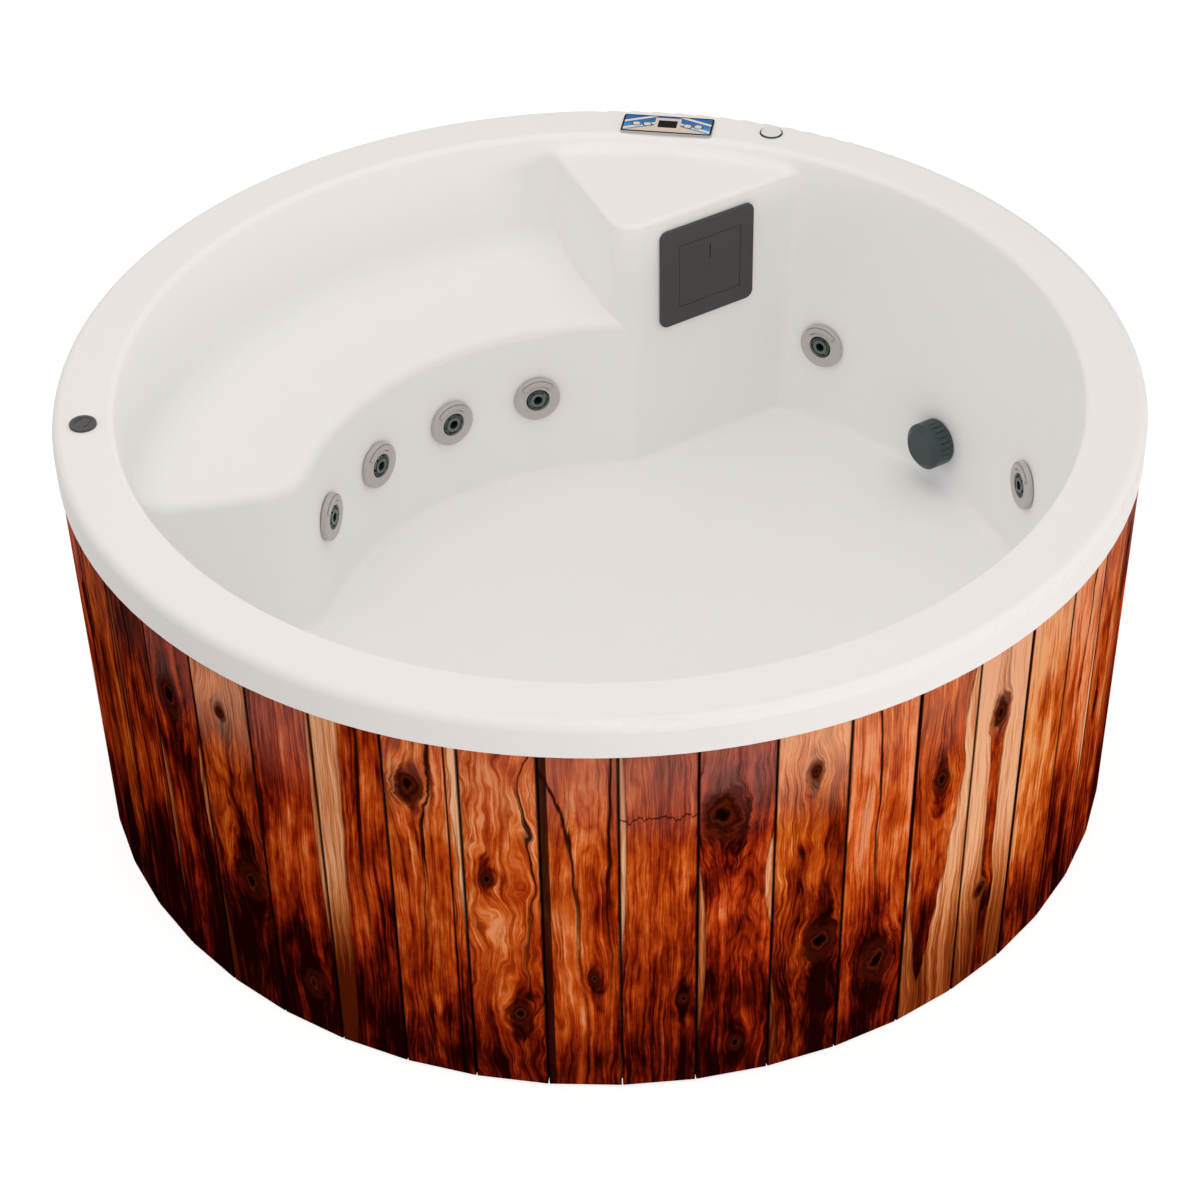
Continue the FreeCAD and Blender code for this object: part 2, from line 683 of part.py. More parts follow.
def fitting_body(radius, bore, flange_radius, depth):
    """Threaded wall fitting: a flange inside the tub and a closed tail behind the wall."""
    front = JET_FLANGE_FRONT
    outer = disc(radius, -depth, front).fuse(disc(flange_radius, GASKET_THICKNESS, front))
    return outer.cut(disc(bore, PIPE_WALL - depth, front))


def lock_nut(radius, margin):
    """Hexagonal nut drawn up against the back of the wall."""
    across = radius + margin
    corners = [unit(60 * side) * (across / math.cos(math.radians(30))) for side in range(6)]
    nut = prism(corners, -SHELL_WALL - SEAT_GAP - NUT_THICKNESS, -SHELL_WALL - SEAT_GAP)
    return nut.cut(disc(radius + SEAT_GAP, -FAR, 0))


def wall_gasket(bore, radius, seat, shell):
    """Soft ring whose back takes the curve of the wall."""
    soft = placed(ring(bore, radius, -SHELL_WALL / 2, GASKET_THICKNESS - SEAT_GAP), seat).cut(shell)
    soft.translate(seat.Rotation.multVec(UP * SEAT_GAP))
    return soft


# Suction fitting

def suction_cover():
    """Hollow anti-vortex cover with a chamfered front and slots round its side."""
    back = GASKET_THICKNESS
    nose = SUCTION_LENGTH - SUCTION_CHAMFER
    inside = SUCTION_RADIUS - SUCTION_WALL
    front = SUCTION_LENGTH
    lining = front - SUCTION_WALL
    outline = [(inside, back), (SUCTION_RADIUS, back), (SUCTION_RADIUS, nose)]
    outline += [(SUCTION_FACE_RADIUS, front), (0, front), (0, lining)]
    outline += [(SUCTION_FACE_RADIUS - SUCTION_WALL, lining), (inside, nose)]
    cover = turned(outline)
    slot_foot = JET_FLANGE_FRONT + SUCTION_WALL
    slots = []
    for index in range(SUCTION_SLOTS):
        slot = Part.makeBox(SUCTION_RADIUS, SUCTION_SLOT_WIDTH, SUCTION_SLOT_LENGTH)
        slot.translate(Vector(inside - SUCTION_WALL, -SUCTION_SLOT_WIDTH / 2, slot_foot))
        slot.rotate(ORIGIN, UP, 360.0 * index / SUCTION_SLOTS)
        slots.append(slot)
    return cover.cut(Part.Compound(slots))


# Skimmer, built with local Z pointing out of the pedestal face and local Y up

SKIMMER_SEAT = frame_at(
    PEDESTAL_TIP + unit(PEDESTAL_FACE_ANGLE) * SKIMMER_ALONG + UP * SKIMMER_HEIGHT,
    unit(PEDESTAL_FACE_ANGLE - 90),
    unit(PEDESTAL_FACE_ANGLE))
DOOR_CENTRE = Vector(DOOR_X, DOOR_Y, 0)
PLATE_BACK = GASKET_THICKNESS / 2
PLATE_FRONT = PLATE_BACK + PLATE_THICKNESS
DOOR_FRONT = PLATE_FRONT - DOOR_RECESS
DOOR_BACK = DOOR_FRONT - DOOR_THICKNESS
HINGE_Y = DOOR_Y - DOOR_HEIGHT / 2 + HINGE_RISE
HINGE_Z = DOOR_BACK
OPENING_WIDTH = DOOR_WIDTH + 2 * DOOR_GAP
OPENING_HEIGHT = DOOR_HEIGHT + 2 * DOOR_GAP
THROAT_WIDTH = OPENING_WIDTH + 2 * THROAT_MARGIN
THROAT_HEIGHT = OPENING_HEIGHT + 2 * THROAT_MARGIN
THROAT_FLOOR = DOOR_Y - THROAT_HEIGHT / 2


def hinge_rod(radius, length):
    start = Vector(DOOR_X - length / 2, HINGE_Y, HINGE_Z)
    return Part.makeCylinder(radius, length, start, Vector(1, 0, 0))


def skimmer_gasket():
    inset = 2 * PLATE_GASKET_INSET
    frame = rounded_slab(PLATE_WIDTH - inset, PLATE_HEIGHT - inset, 0, PLATE_BACK, PLATE_CORNER)
    return frame.cut(slab(THROAT_WIDTH, THROAT_HEIGHT, 0, PLATE_BACK, DOOR_CENTRE))


def skimmer_faceplate():
    plate = rounded_slab(PLATE_WIDTH, PLATE_HEIGHT, PLATE_BACK, PLATE_FRONT, PLATE_CORNER)
    plate = plate.makeFillet(PLATE_EDGE, level_edges(plate, PLATE_FRONT))
    plate = plate.cut(slab(OPENING_WIDTH, OPENING_HEIGHT, 0, FAR, DOOR_CENTRE))
    gap_middle = Vector(DOOR_X, DOOR_Y - OPENING_HEIGHT / 2 + DOOR_GAP / 2 - SIDE_GAP / 2, 0)
    tab = slab(HINGE_TAB_WIDTH, DOOR_GAP - SIDE_GAP, DOOR_BACK, DOOR_FRONT, gap_middle)
    pin_hole = hinge_rod(HINGE_PIN_RADIUS + RUN_FIT, OPENING_WIDTH + 4 * THROAT_MARGIN)
    return plate.fuse(tab).cut(pin_hole)


def weir_flap():
    """Door with a knuckle along its lower edge and a finger slot near the top."""
    flap = slab(DOOR_WIDTH, DOOR_HEIGHT, DOOR_BACK, DOOR_FRONT, DOOR_CENTRE)
    flap = flap.fuse(hinge_rod(HINGE_KNUCKLE_RADIUS, DOOR_WIDTH))
    slot_centre = Vector(DOOR_X, DOOR_Y + DOOR_HEIGHT / 2 - DOOR_SLOT_LENGTH, 0)
    slot_floor = DOOR_FRONT - DOOR_THICKNESS / 2
    slot = slab(DOOR_SLOT_WIDTH, DOOR_SLOT_LENGTH, slot_floor, FAR, slot_centre)
    return flap.cut(hinge_rod(HINGE_PIN_RADIUS + RUN_FIT, DOOR_WIDTH)).cut(slot)


def weir_pin():
    return hinge_rod(HINGE_PIN_RADIUS, OPENING_WIDTH + 2 * THROAT_MARGIN)


CANISTER_TOP = SKIMMER_HEIGHT + THROAT_FLOOR
CANISTER_FOOT = CANISTER_TOP - CANISTER_LENGTH
CANISTER_AXIS = SKIMMER_SEAT.multVec(Vector(DOOR_X, 0, -CANISTER_SET_BACK))
CANISTER_FRAME = Placement(Vector(CANISTER_AXIS.x, CANISTER_AXIS.y, 0), Rotation())


def skimmer_housing():
    """Throat behind the plate and a round canister hanging from its floor."""
    outer = slab(THROAT_WIDTH, THROAT_HEIGHT, -THROAT_DEPTH, 0, DOOR_CENTRE)
    hollow = slab(THROAT_WIDTH - 2 * HOUSING_WALL, THROAT_HEIGHT - 2 * HOUSING_WALL,
                  HOUSING_WALL - THROAT_DEPTH, 0, DOOR_CENTRE)
    inside = CANISTER_RADIUS - HOUSING_WALL
    can = disc(CANISTER_RADIUS, CANISTER_FOOT, CANISTER_TOP)
    can = can.fuse(disc(SUCTION_PIPE_RADIUS, CANISTER_FOOT - SUCTION_PIPE_RADIUS, CANISTER_FOOT))
    room = disc(inside, CANISTER_FOOT + HOUSING_WALL, CANISTER_TOP + HOUSING_WALL)
    room = room.fuse(disc(SUCTION_PIPE_RADIUS - PIPE_WALL, 0, CANISTER_TOP))
    body = placed(outer, SKIMMER_SEAT).fuse(placed(can, CANISTER_FRAME))
    return body.cut(placed(hollow, SKIMMER_SEAT)).cut(placed(room, CANISTER_FRAME))


def filter_cartridge():
    """Pleated paper between two end caps, standing on the canister's floor."""
    foot = CANISTER_FOOT + HOUSING_WALL
    head = CANISTER_TOP - CARTRIDGE_HEADROOM
    corners = []
    for fold in range(2 * CARTRIDGE_PLEATS):
        radius = CARTRIDGE_RADIUS - CARTRIDGE_CAP_LIP - CARTRIDGE_PLEAT_DEPTH * (fold % 2)
        corners.append(unit(180.0 * fold / CARTRIDGE_PLEATS) * radius)
    paper = prism(corners, foot + CARTRIDGE_CAP, head - CARTRIDGE_CAP)
    caps = [disc(CARTRIDGE_RADIUS, z, z + CARTRIDGE_CAP) for z in (foot, head - CARTRIDGE_CAP)]
    return placed(paper.fuse(caps).cut(disc(CARTRIDGE_CORE, 0, TUB_HEIGHT)), CANISTER_FRAME)


# Control panel, built on the rim with local X along it and local Y outward

def rim_seat(angle, inset):
    return frame_at(polar(RIM_RADIUS - inset, angle, TUB_HEIGHT), UP, unit(angle - 90))


PANEL_SEAT = rim_seat(PANEL_ANGLE, PANEL_INSET)
AIR_BUTTON_SEAT = rim_seat(AIR_BUTTON_ANGLE, AIR_BUTTON_INSET)
KNOB_SEAT = rim_seat(KNOB_ANGLE, KNOB_INSET)
OVERLAY_FOOT = PANEL_HEIGHT - PANEL_RECESS
OVERLAY_TOP = OVERLAY_FOOT + OVERLAY_THICKNESS
BUTTON_FOOT = OVERLAY_TOP + BUTTON_PROUD - BUTTON_HEIGHT


def oval(length, width, bottom, top, centre):
    """Key shape with round ends."""
    ends = length / 2 - width / 2
    middle = slab(2 * ends, width, bottom, top, centre)
    caps = []
    for sign in (-1, 1):
        caps.append(Part.makeCylinder(width / 2, top - bottom, centre + Vector(sign * ends, 0, bottom)))
    return middle.fuse(caps).removeSplitter()


def key_holes(grow, bottom):
    length = BUTTON_LENGTH + 2 * grow
    width = BUTTON_WIDTH + 2 * grow
    holes = []
    for x in BUTTON_X:
        holes.append(oval(length, width, bottom, PANEL_HEIGHT + OVERSHOOT, Vector(x, BUTTON_Y, 0)))
    return Part.Compound(holes)


def panel_housing():
    """Bezel on the rim with a box below it for the circuit board."""
    bezel = rounded_slab(PANEL_WIDTH, PANEL_DEPTH, 0, PANEL_HEIGHT, PANEL_CORNER)
    edge = level_edges(bezel, PANEL_HEIGHT)
    bezel = bezel.makeFillet(PANEL_RECESS, edge)
    inner_width = PANEL_WIDTH - 2 * PANEL_FRAME
    inner_depth = PANEL_DEPTH - 2 * PANEL_FRAME
    bezel = bezel.cut(slab(inner_width, inner_depth, OVERLAY_FOOT, FAR))
    bezel = bezel.cut(key_holes(SIDE_GAP, BUTTON_FOOT - BUTTON_TRAVEL - SIDE_GAP))
    board_box = slab(PANEL_BODY_WIDTH, PANEL_BODY_DEPTH, -PANEL_BODY_DROP, 0)
    return bezel.fuse(board_box)


def panel_overlay():
    """Printed sheet with holes for the keys and the display."""
    width = PANEL_WIDTH - 2 * PANEL_FRAME - 2 * SEAT_GAP
    depth = PANEL_DEPTH - 2 * PANEL_FRAME - 2 * SEAT_GAP
    sheet = slab(width, depth, OVERLAY_FOOT, OVERLAY_TOP)
    sheet = sheet.cut(slab(DISPLAY_WIDTH + 2 * SEAT_GAP, DISPLAY_DEPTH + 2 * SEAT_GAP, 0, FAR))
    return sheet.cut(key_holes(SIDE_GAP, 0))


def panel_display():
    top = OVERLAY_FOOT + DISPLAY_HEIGHT
    return rounded_slab(DISPLAY_WIDTH, DISPLAY_DEPTH, OVERLAY_FOOT, top, PANEL_CORNER / 2)


def panel_button(index):
    centre = Vector(BUTTON_X[index], BUTTON_Y, 0)
    top = BUTTON_FOOT + BUTTON_HEIGHT
    key = oval(BUTTON_LENGTH, BUTTON_WIDTH, BUTTON_FOOT, top, centre)
    return key.makeFillet(BUTTON_PROUD / 2, level_edges(key, top))


# Air button and air control knob

AIR_CAP_FOOT = AIR_BUTTON_FLANGE_HEIGHT + AIR_BUTTON_PROUD - 2 * AIR_BUTTON_TRAVEL
BELLOWS_FOOT = AIR_BUTTON_WALL - AIR_BUTTON_DROP


def air_button_body():
    """Flanged cup that holds the cap and the bellows, with an air spigot below."""
    cup = disc(AIR_BUTTON_BODY, -AIR_BUTTON_DROP, 0)
    flange = disc(AIR_BUTTON_FLANGE, 0, AIR_BUTTON_FLANGE_HEIGHT)
    flange = flange.makeFillet(AIR_BUTTON_WALL, level_edges(flange, AIR_BUTTON_FLANGE_HEIGHT))
    spigot = disc(AIR_PIPE_RADIUS / 2, -AIR_BUTTON_DROP - AIR_PIPE_RADIUS * 2, -AIR_BUTTON_DROP)
    body = cup.fuse([flange, spigot])
    body = body.cut(disc(AIR_BUTTON_CAP + SIDE_GAP, BELLOWS_FOOT, FAR))
    return body.cut(disc(AIR_BUTTON_WALL, -FAR, 0))


def air_button_cap():
    top = AIR_BUTTON_FLANGE_HEIGHT + AIR_BUTTON_PROUD
    cap = disc(AIR_BUTTON_CAP, AIR_CAP_FOOT, top)
    return cap.makeFillet(AIR_BUTTON_CAP_ROUND, level_edges(cap, top))


def air_button_bellows():
    """Ribbed rubber bellows between the cap and the floor of the cup."""
    step = (AIR_CAP_FOOT - BELLOWS_FOOT) / (2 * BELLOWS_COUNT)
    outer = []
    inner = []
    for fold in range(2 * BELLOWS_COUNT + 1):
        radius = BELLOWS_RADIUS - BELLOWS_FOLD * (fold % 2)
        outer.append((radius, BELLOWS_FOOT + step * fold))
        inner.append((radius - AIR_BUTTON_WALL, BELLOWS_FOOT + step * fold))
    return turned(outer + inner[::-1])


def air_knob():
    """Low disc with a dished top, two finger slots and a stem."""
    foot = VALVE_FLANGE_THICKNESS + SIDE_GAP
    top = foot + KNOB_HEIGHT
    knob = disc(KNOB_RADIUS, foot, top)
    knob = knob.makeFillet(KNOB_EDGE, level_edges(knob, top))
    knob = knob.cut(disc(KNOB_DISH_RADIUS, top - KNOB_DISH_DEPTH, FAR))
    slot_radius = KNOB_DISH_RADIUS - KNOB_SLOT_WIDTH
    for index in range(KNOB_SLOT_COUNT):
        sector = Part.makeCylinder(KNOB_RADIUS, FAR, UP * (top - 2 * KNOB_DISH_DEPTH), UP, KNOB_SLOT_ARC)
        sector.rotate(ORIGIN, UP, 360.0 * index / KNOB_SLOT_COUNT)
        knob = knob.cut(ring(slot_radius - KNOB_SLOT_WIDTH, slot_radius, 0, FAR).common(sector))
    return knob.fuse(disc(KNOB_STEM_RADIUS, -VALVE_DROP / 2, foot))


def air_valve_body():
    body = disc(VALVE_RADIUS, -VALVE_DROP, 0).fuse(disc(KNOB_RADIUS, 0, VALVE_FLANGE_THICKNESS))
    stem_hole = disc(KNOB_STEM_RADIUS + RUN_FIT, -VALVE_DROP / 2 - SIDE_GAP, FAR)
    air_way = disc(AIR_PIPE_RADIUS - PIPE_WALL, -VALVE_DROP, -VALVE_DROP / 3)
    air_way.translate(Vector(0, -VALVE_OUTLET_OFFSET, 0))
    return body.cut(stem_hole).cut(air_way)


# Pump and heater, with local Z along the motor's axis away from the inlet

PUMP_INLET = Vector(CANISTER_AXIS.x, CANISTER_AXIS.y, PUMP_HEIGHT) + unit(PUMP_AXIS_ANGLE) * PUMP_INLET_RUN
PUMP_SEAT = frame_at(PUMP_INLET, unit(PUMP_AXIS_ANGLE), unit(PUMP_AXIS_ANGLE - 90))
DISCHARGE = PUMP_INLET + unit(PUMP_AXIS_ANGLE) * (VOLUTE_LENGTH / 2)
DISCHARGE_TOP = VOLUTE_RADIUS + SUCTION_PIPE_RADIUS
HEATER_HEIGHT = PUMP_HEIGHT + DISCHARGE_TOP + HEATER_RISE


def pump_volute():
    """Round casing with an axial inlet and an upright outlet, open at the motor end."""
    case = disc(VOLUTE_RADIUS, 0, VOLUTE_LENGTH)
    case = case.makeFillet(VOLUTE_WALL * 2, level_edges(case, 0))
    neck = disc(SUCTION_PIPE_RADIUS, -SUCTION_PIPE_RADIUS, 0)
    middle = UP * (VOLUTE_LENGTH / 2)
    outlet = Part.makeCylinder(SUCTION_PIPE_RADIUS, DISCHARGE_TOP, middle, Vector(0, 1, 0))
    room = disc(VOLUTE_RADIUS - VOLUTE_WALL, VOLUTE_WALL * 2, VOLUTE_LENGTH)
    bore = SUCTION_PIPE_RADIUS - PIPE_WALL
    inlet_bore = disc(bore, -FAR, VOLUTE_LENGTH / 2)
    outlet_bore = Part.makeCylinder(bore, FAR, middle, Vector(0, 1, 0))
    return case.fuse([neck, outlet]).cut(room.fuse([inlet_bore, outlet_bore]))


def pump_motor():
    """Finned motor whose flange closes the volute and holds the shaft."""
    start = VOLUTE_LENGTH
    fin_start = start + VOLUTE_WALL * 2
    flange = disc(VOLUTE_RADIUS, start, fin_start)
    barrel = disc(MOTOR_RADIUS - MOTOR_FIN_HEIGHT, start, start + MOTOR_LENGTH)
    fins = []
    for index in range(MOTOR_FINS):
        fin = Part.makeBox(MOTOR_FIN_HEIGHT * 2, MOTOR_FIN_HEIGHT / 2, MOTOR_FIN_LENGTH)
        fin.translate(Vector(MOTOR_RADIUS - MOTOR_FIN_HEIGHT * 2, -MOTOR_FIN_HEIGHT / 4, fin_start))
        fin.rotate(ORIGIN, UP, 360.0 * index / MOTOR_FINS)
        fins.append(fin)
    cowl_start = fin_start + MOTOR_FIN_LENGTH
    cowl = disc(MOTOR_RADIUS, cowl_start, start + MOTOR_LENGTH)
    cowl = cowl.makeFillet(MOTOR_FIN_HEIGHT * 2, level_edges(cowl, start + MOTOR_LENGTH))
    motor = barrel.common(disc(MOTOR_RADIUS, start, cowl_start + VOLUTE_WALL)).fuse([flange, cowl] + fins)
    return motor.cut(disc(SHAFT_RADIUS + RUN_FIT, 0, start + MOTOR_LENGTH / 4))


def pump_impeller():
    """Bladed wheel on the end of the shaft."""
    back = VOLUTE_LENGTH - VOLUTE_WALL
    front = VOLUTE_LENGTH / 2
    wheel = disc(IMPELLER_RADIUS, back - VOLUTE_WALL / 2, back)
    hub = disc(SHAFT_RADIUS * 2, front, back)
    shaft = disc(SHAFT_RADIUS, front, VOLUTE_LENGTH + MOTOR_LENGTH / 4 - SIDE_GAP)
    blades = []
    for index in range(IMPELLER_BLADES):
        blade = ring(IMPELLER_BLADE_CURVE - VOLUTE_WALL / 2, IMPELLER_BLADE_CURVE, front, back)
        blade.translate(Vector(IMPELLER_BLADE_CURVE, 0, 0))
        blade = blade.common(disc(IMPELLER_RADIUS, front, back))
        blade = blade.common(slab(FAR, FAR, front, back, Vector(0, FAR / 2, 0)))
        blade.rotate(ORIGIN, UP, 360.0 * index / IMPELLER_BLADES)
        blades.append(blade)
    return wheel.fuse([hub, shaft] + blades)


def pump_feet():
    """Saddle under the motor that stands on the base."""
    drop = PUMP_HEIGHT - BASE_THICKNESS
    start = VOLUTE_LENGTH + VOLUTE_WALL * 2 + MOTOR_FIN_LENGTH
    block = Part.makeBox(MOTOR_FOOT_WIDTH, drop, MOTOR_FOOT_LENGTH)
    block.translate(Vector(-MOTOR_FOOT_WIDTH / 2, -drop, start))
    front = Part.makeBox(MOTOR_FOOT_WIDTH, drop, VOLUTE_WALL * 2)
    front.translate(Vector(-MOTOR_FOOT_WIDTH / 2, -drop, VOLUTE_LENGTH))
    cowl = disc(MOTOR_RADIUS + SEAT_GAP, start - FAR, start + FAR)
    flange = disc(VOLUTE_RADIUS + SEAT_GAP, 0, start)
    return Part.Compound([block.cut(cowl), front.cut(flange)])


HEATER_SEAT = frame_at(
    Vector(DISCHARGE.x, DISCHARGE.y, HEATER_HEIGHT) + unit(HEATER_ANGLE) * HEATER_START,
    unit(HEATER_ANGLE),
    unit(HEATER_ANGLE - 90))


def heater_tube():
    """Steel flow tube with domed ends and a terminal box."""
    tube = disc(HEATER_RADIUS, 0, HEATER_LENGTH)
    ends = level_edges(tube, 0) + level_edges(tube, HEATER_LENGTH)
    tube = tube.makeFillet(HEATER_RADIUS / 3, ends)
    box_start = (HEATER_LENGTH - HEATER_BOX_LENGTH) / 2
    box_centre = Vector(0, -HEATER_RADIUS, 0)
    box = slab(HEATER_RADIUS, HEATER_RADIUS * 2, box_start, box_start + HEATER_BOX_LENGTH, box_centre)
    return tube.fuse(box).cut(disc(WATER_PIPE_RADIUS - PIPE_WALL, -FAR, FAR))


def control_box():
    frame = frame_at(polar(CONTROL_RADIUS, CONTROL_ANGLE, BASE_THICKNESS), UP, unit(CONTROL_ANGLE - 90))
    width, depth, height = CONTROL_SIZE
    box = rounded_slab(width, depth, 0, height, CONTROL_ROUND)
    return placed(box.makeFillet(CONTROL_ROUND / 2, level_edges(box, height)), frame)


# Plumbing

def header_path(z, start_angle):
    """Pipe run behind the bench jets, out round the skimmer and on behind the wall jets."""
    bench_arc = riser_radius(JET_HEIGHT) + PIPE_SET_BACK
    wall_arc = wall_radius(JET_HEIGHT) + PIPE_SET_BACK
    leave = BENCH_JET_ANGLES[-1] - HEADER_LEAVE_TURN
    join = PANEL_ANGLE + HEADER_JOIN_TURN
    stop = WALL_JET_ANGLES[-1] - WATER_END_TURN
    bench_angles = (start_angle, (start_angle + leave) / 2, leave)
    wall_angles = (join, (join + stop) / 2, stop)
    first = Part.Arc(*[RISER_CENTRE + unit(a) * bench_arc + UP * z for a in bench_angles])
    last = Part.Arc(*[polar(wall_arc, a, z) for a in wall_angles])
    begin = first.value(first.LastParameter)
    end = last.value(last.FirstParameter)
    turn_out = begin + unit(leave - 90) * BEND_RUN
    turn_in = end - unit(join - 90) * BEND_RUN
    link = bent_path([begin, turn_out, turn_in, end], PIPE_BEND)
    return Part.Wire([first.toShape()] + link.Edges + [last.toShape()])


def pressure_path():
    """From the pump's outlet up and along to the heater."""
    mouth = Vector(DISCHARGE.x, DISCHARGE.y, PUMP_HEIGHT + DISCHARGE_TOP)
    turn = Vector(DISCHARGE.x, DISCHARGE.y, HEATER_HEIGHT)
    return bent_path([mouth, turn, HEATER_SEAT.Base], PIPE_BEND)


def heater_outlet_path(water_z):
    """From the heater up and in to the bench's header pipe."""
    out = HEATER_SEAT.multVec(UP * HEATER_LENGTH)
    turn = out + unit(HEATER_ANGLE) * PIPE_BEND
    above = Vector(turn.x, turn.y, water_z)
    middle = (BENCH_JET_ANGLES[0] + BENCH_JET_ANGLES[1]) / 2
    tee = RISER_CENTRE + unit(middle) * (riser_radius(JET_HEIGHT) + PIPE_SET_BACK) + UP * water_z
    bend = (water_z - HEATER_HEIGHT - OUTLET_STRAIGHT) / 2
    return bent_path([out, turn, above, tee], bend)


def suction_path():
    """From the suction fitting down, under the floor, past the skimmer and into the pump."""
    mouth = SUCTION_SEAT.multVec(Vector(0, 0, -SUCTION_SET_BACK))
    below = Vector(mouth.x, mouth.y, PUMP_HEIGHT)
    under = Vector(CANISTER_AXIS.x, CANISTER_AXIS.y, PUMP_HEIGHT)
    neck = PUMP_INLET - unit(PUMP_AXIS_ANGLE) * SUCTION_PIPE_RADIUS
    return bent_path([mouth, below, under, neck], PIPE_BEND)


def air_feed_path(air_z):
    """From the air valve down and in to the start of the air header."""
    top = KNOB_SEAT.multVec(Vector(0, -VALVE_OUTLET_OFFSET, -VALVE_DROP))
    reach = wall_radius(JET_HEIGHT) + PIPE_SET_BACK
    low = Vector(top.x, top.y, (air_z + top.z) / 2)
    in_line = polar(reach, KNOB_ANGLE - FEED_TURNS[0], (air_z + BENCH_HEIGHT) / 2)
    corner = polar(reach, KNOB_ANGLE - FEED_TURNS[1], air_z)
    under_bench = polar(reach - PIPE_BEND, KNOB_ANGLE - FEED_TURNS[2], air_z)
    start_angle = BENCH_JET_ANGLES[0] + AIR_END_TURN
    start = RISER_CENTRE + unit(start_angle) * (riser_radius(JET_HEIGHT) + PIPE_SET_BACK) + UP * air_z
    return bent_path([top, low, in_line, corner, under_bench, start], AIR_BEND)


# Cable gland, with local Z pointing out through the stave

def gland_frame():
    angle = -90 + STAVE_PHASE + 360.0 / STAVE_COUNT * (GLAND_STAVE_INDEX + 0.5)
    radius = stave_inner_radius(GLAND_HEIGHT) + STAVE_THICKNESS
    return frame_at(polar(radius, angle, GLAND_HEIGHT), unit(angle), unit(angle - 90))


def cable_gland():
    """Body with a domed head outside, a thread through the stave and a nut inside."""
    reach = -STAVE_THICKNESS - GLAND_TAIL
    body = disc(GLAND_RADIUS, reach, 0)
    head = disc(GLAND_HEAD_RADIUS, SIDE_GAP, GLAND_HEAD)
    head = head.makeFillet(GLAND_HEAD / 4, level_edges(head, GLAND_HEAD))
    body = body.fuse([head, disc(GLAND_RADIUS, 0, GLAND_HEAD)])
    nut_face = -STAVE_THICKNESS - SIDE_GAP
    nut = disc(GLAND_HEAD_RADIUS, nut_face - GLAND_NUT, nut_face)
    return body.fuse(nut).cut(disc(GLAND_BORE, -FAR, FAR))


def group(shape, seats):
    return Part.Compound([placed(shape, seat) for seat in seats])


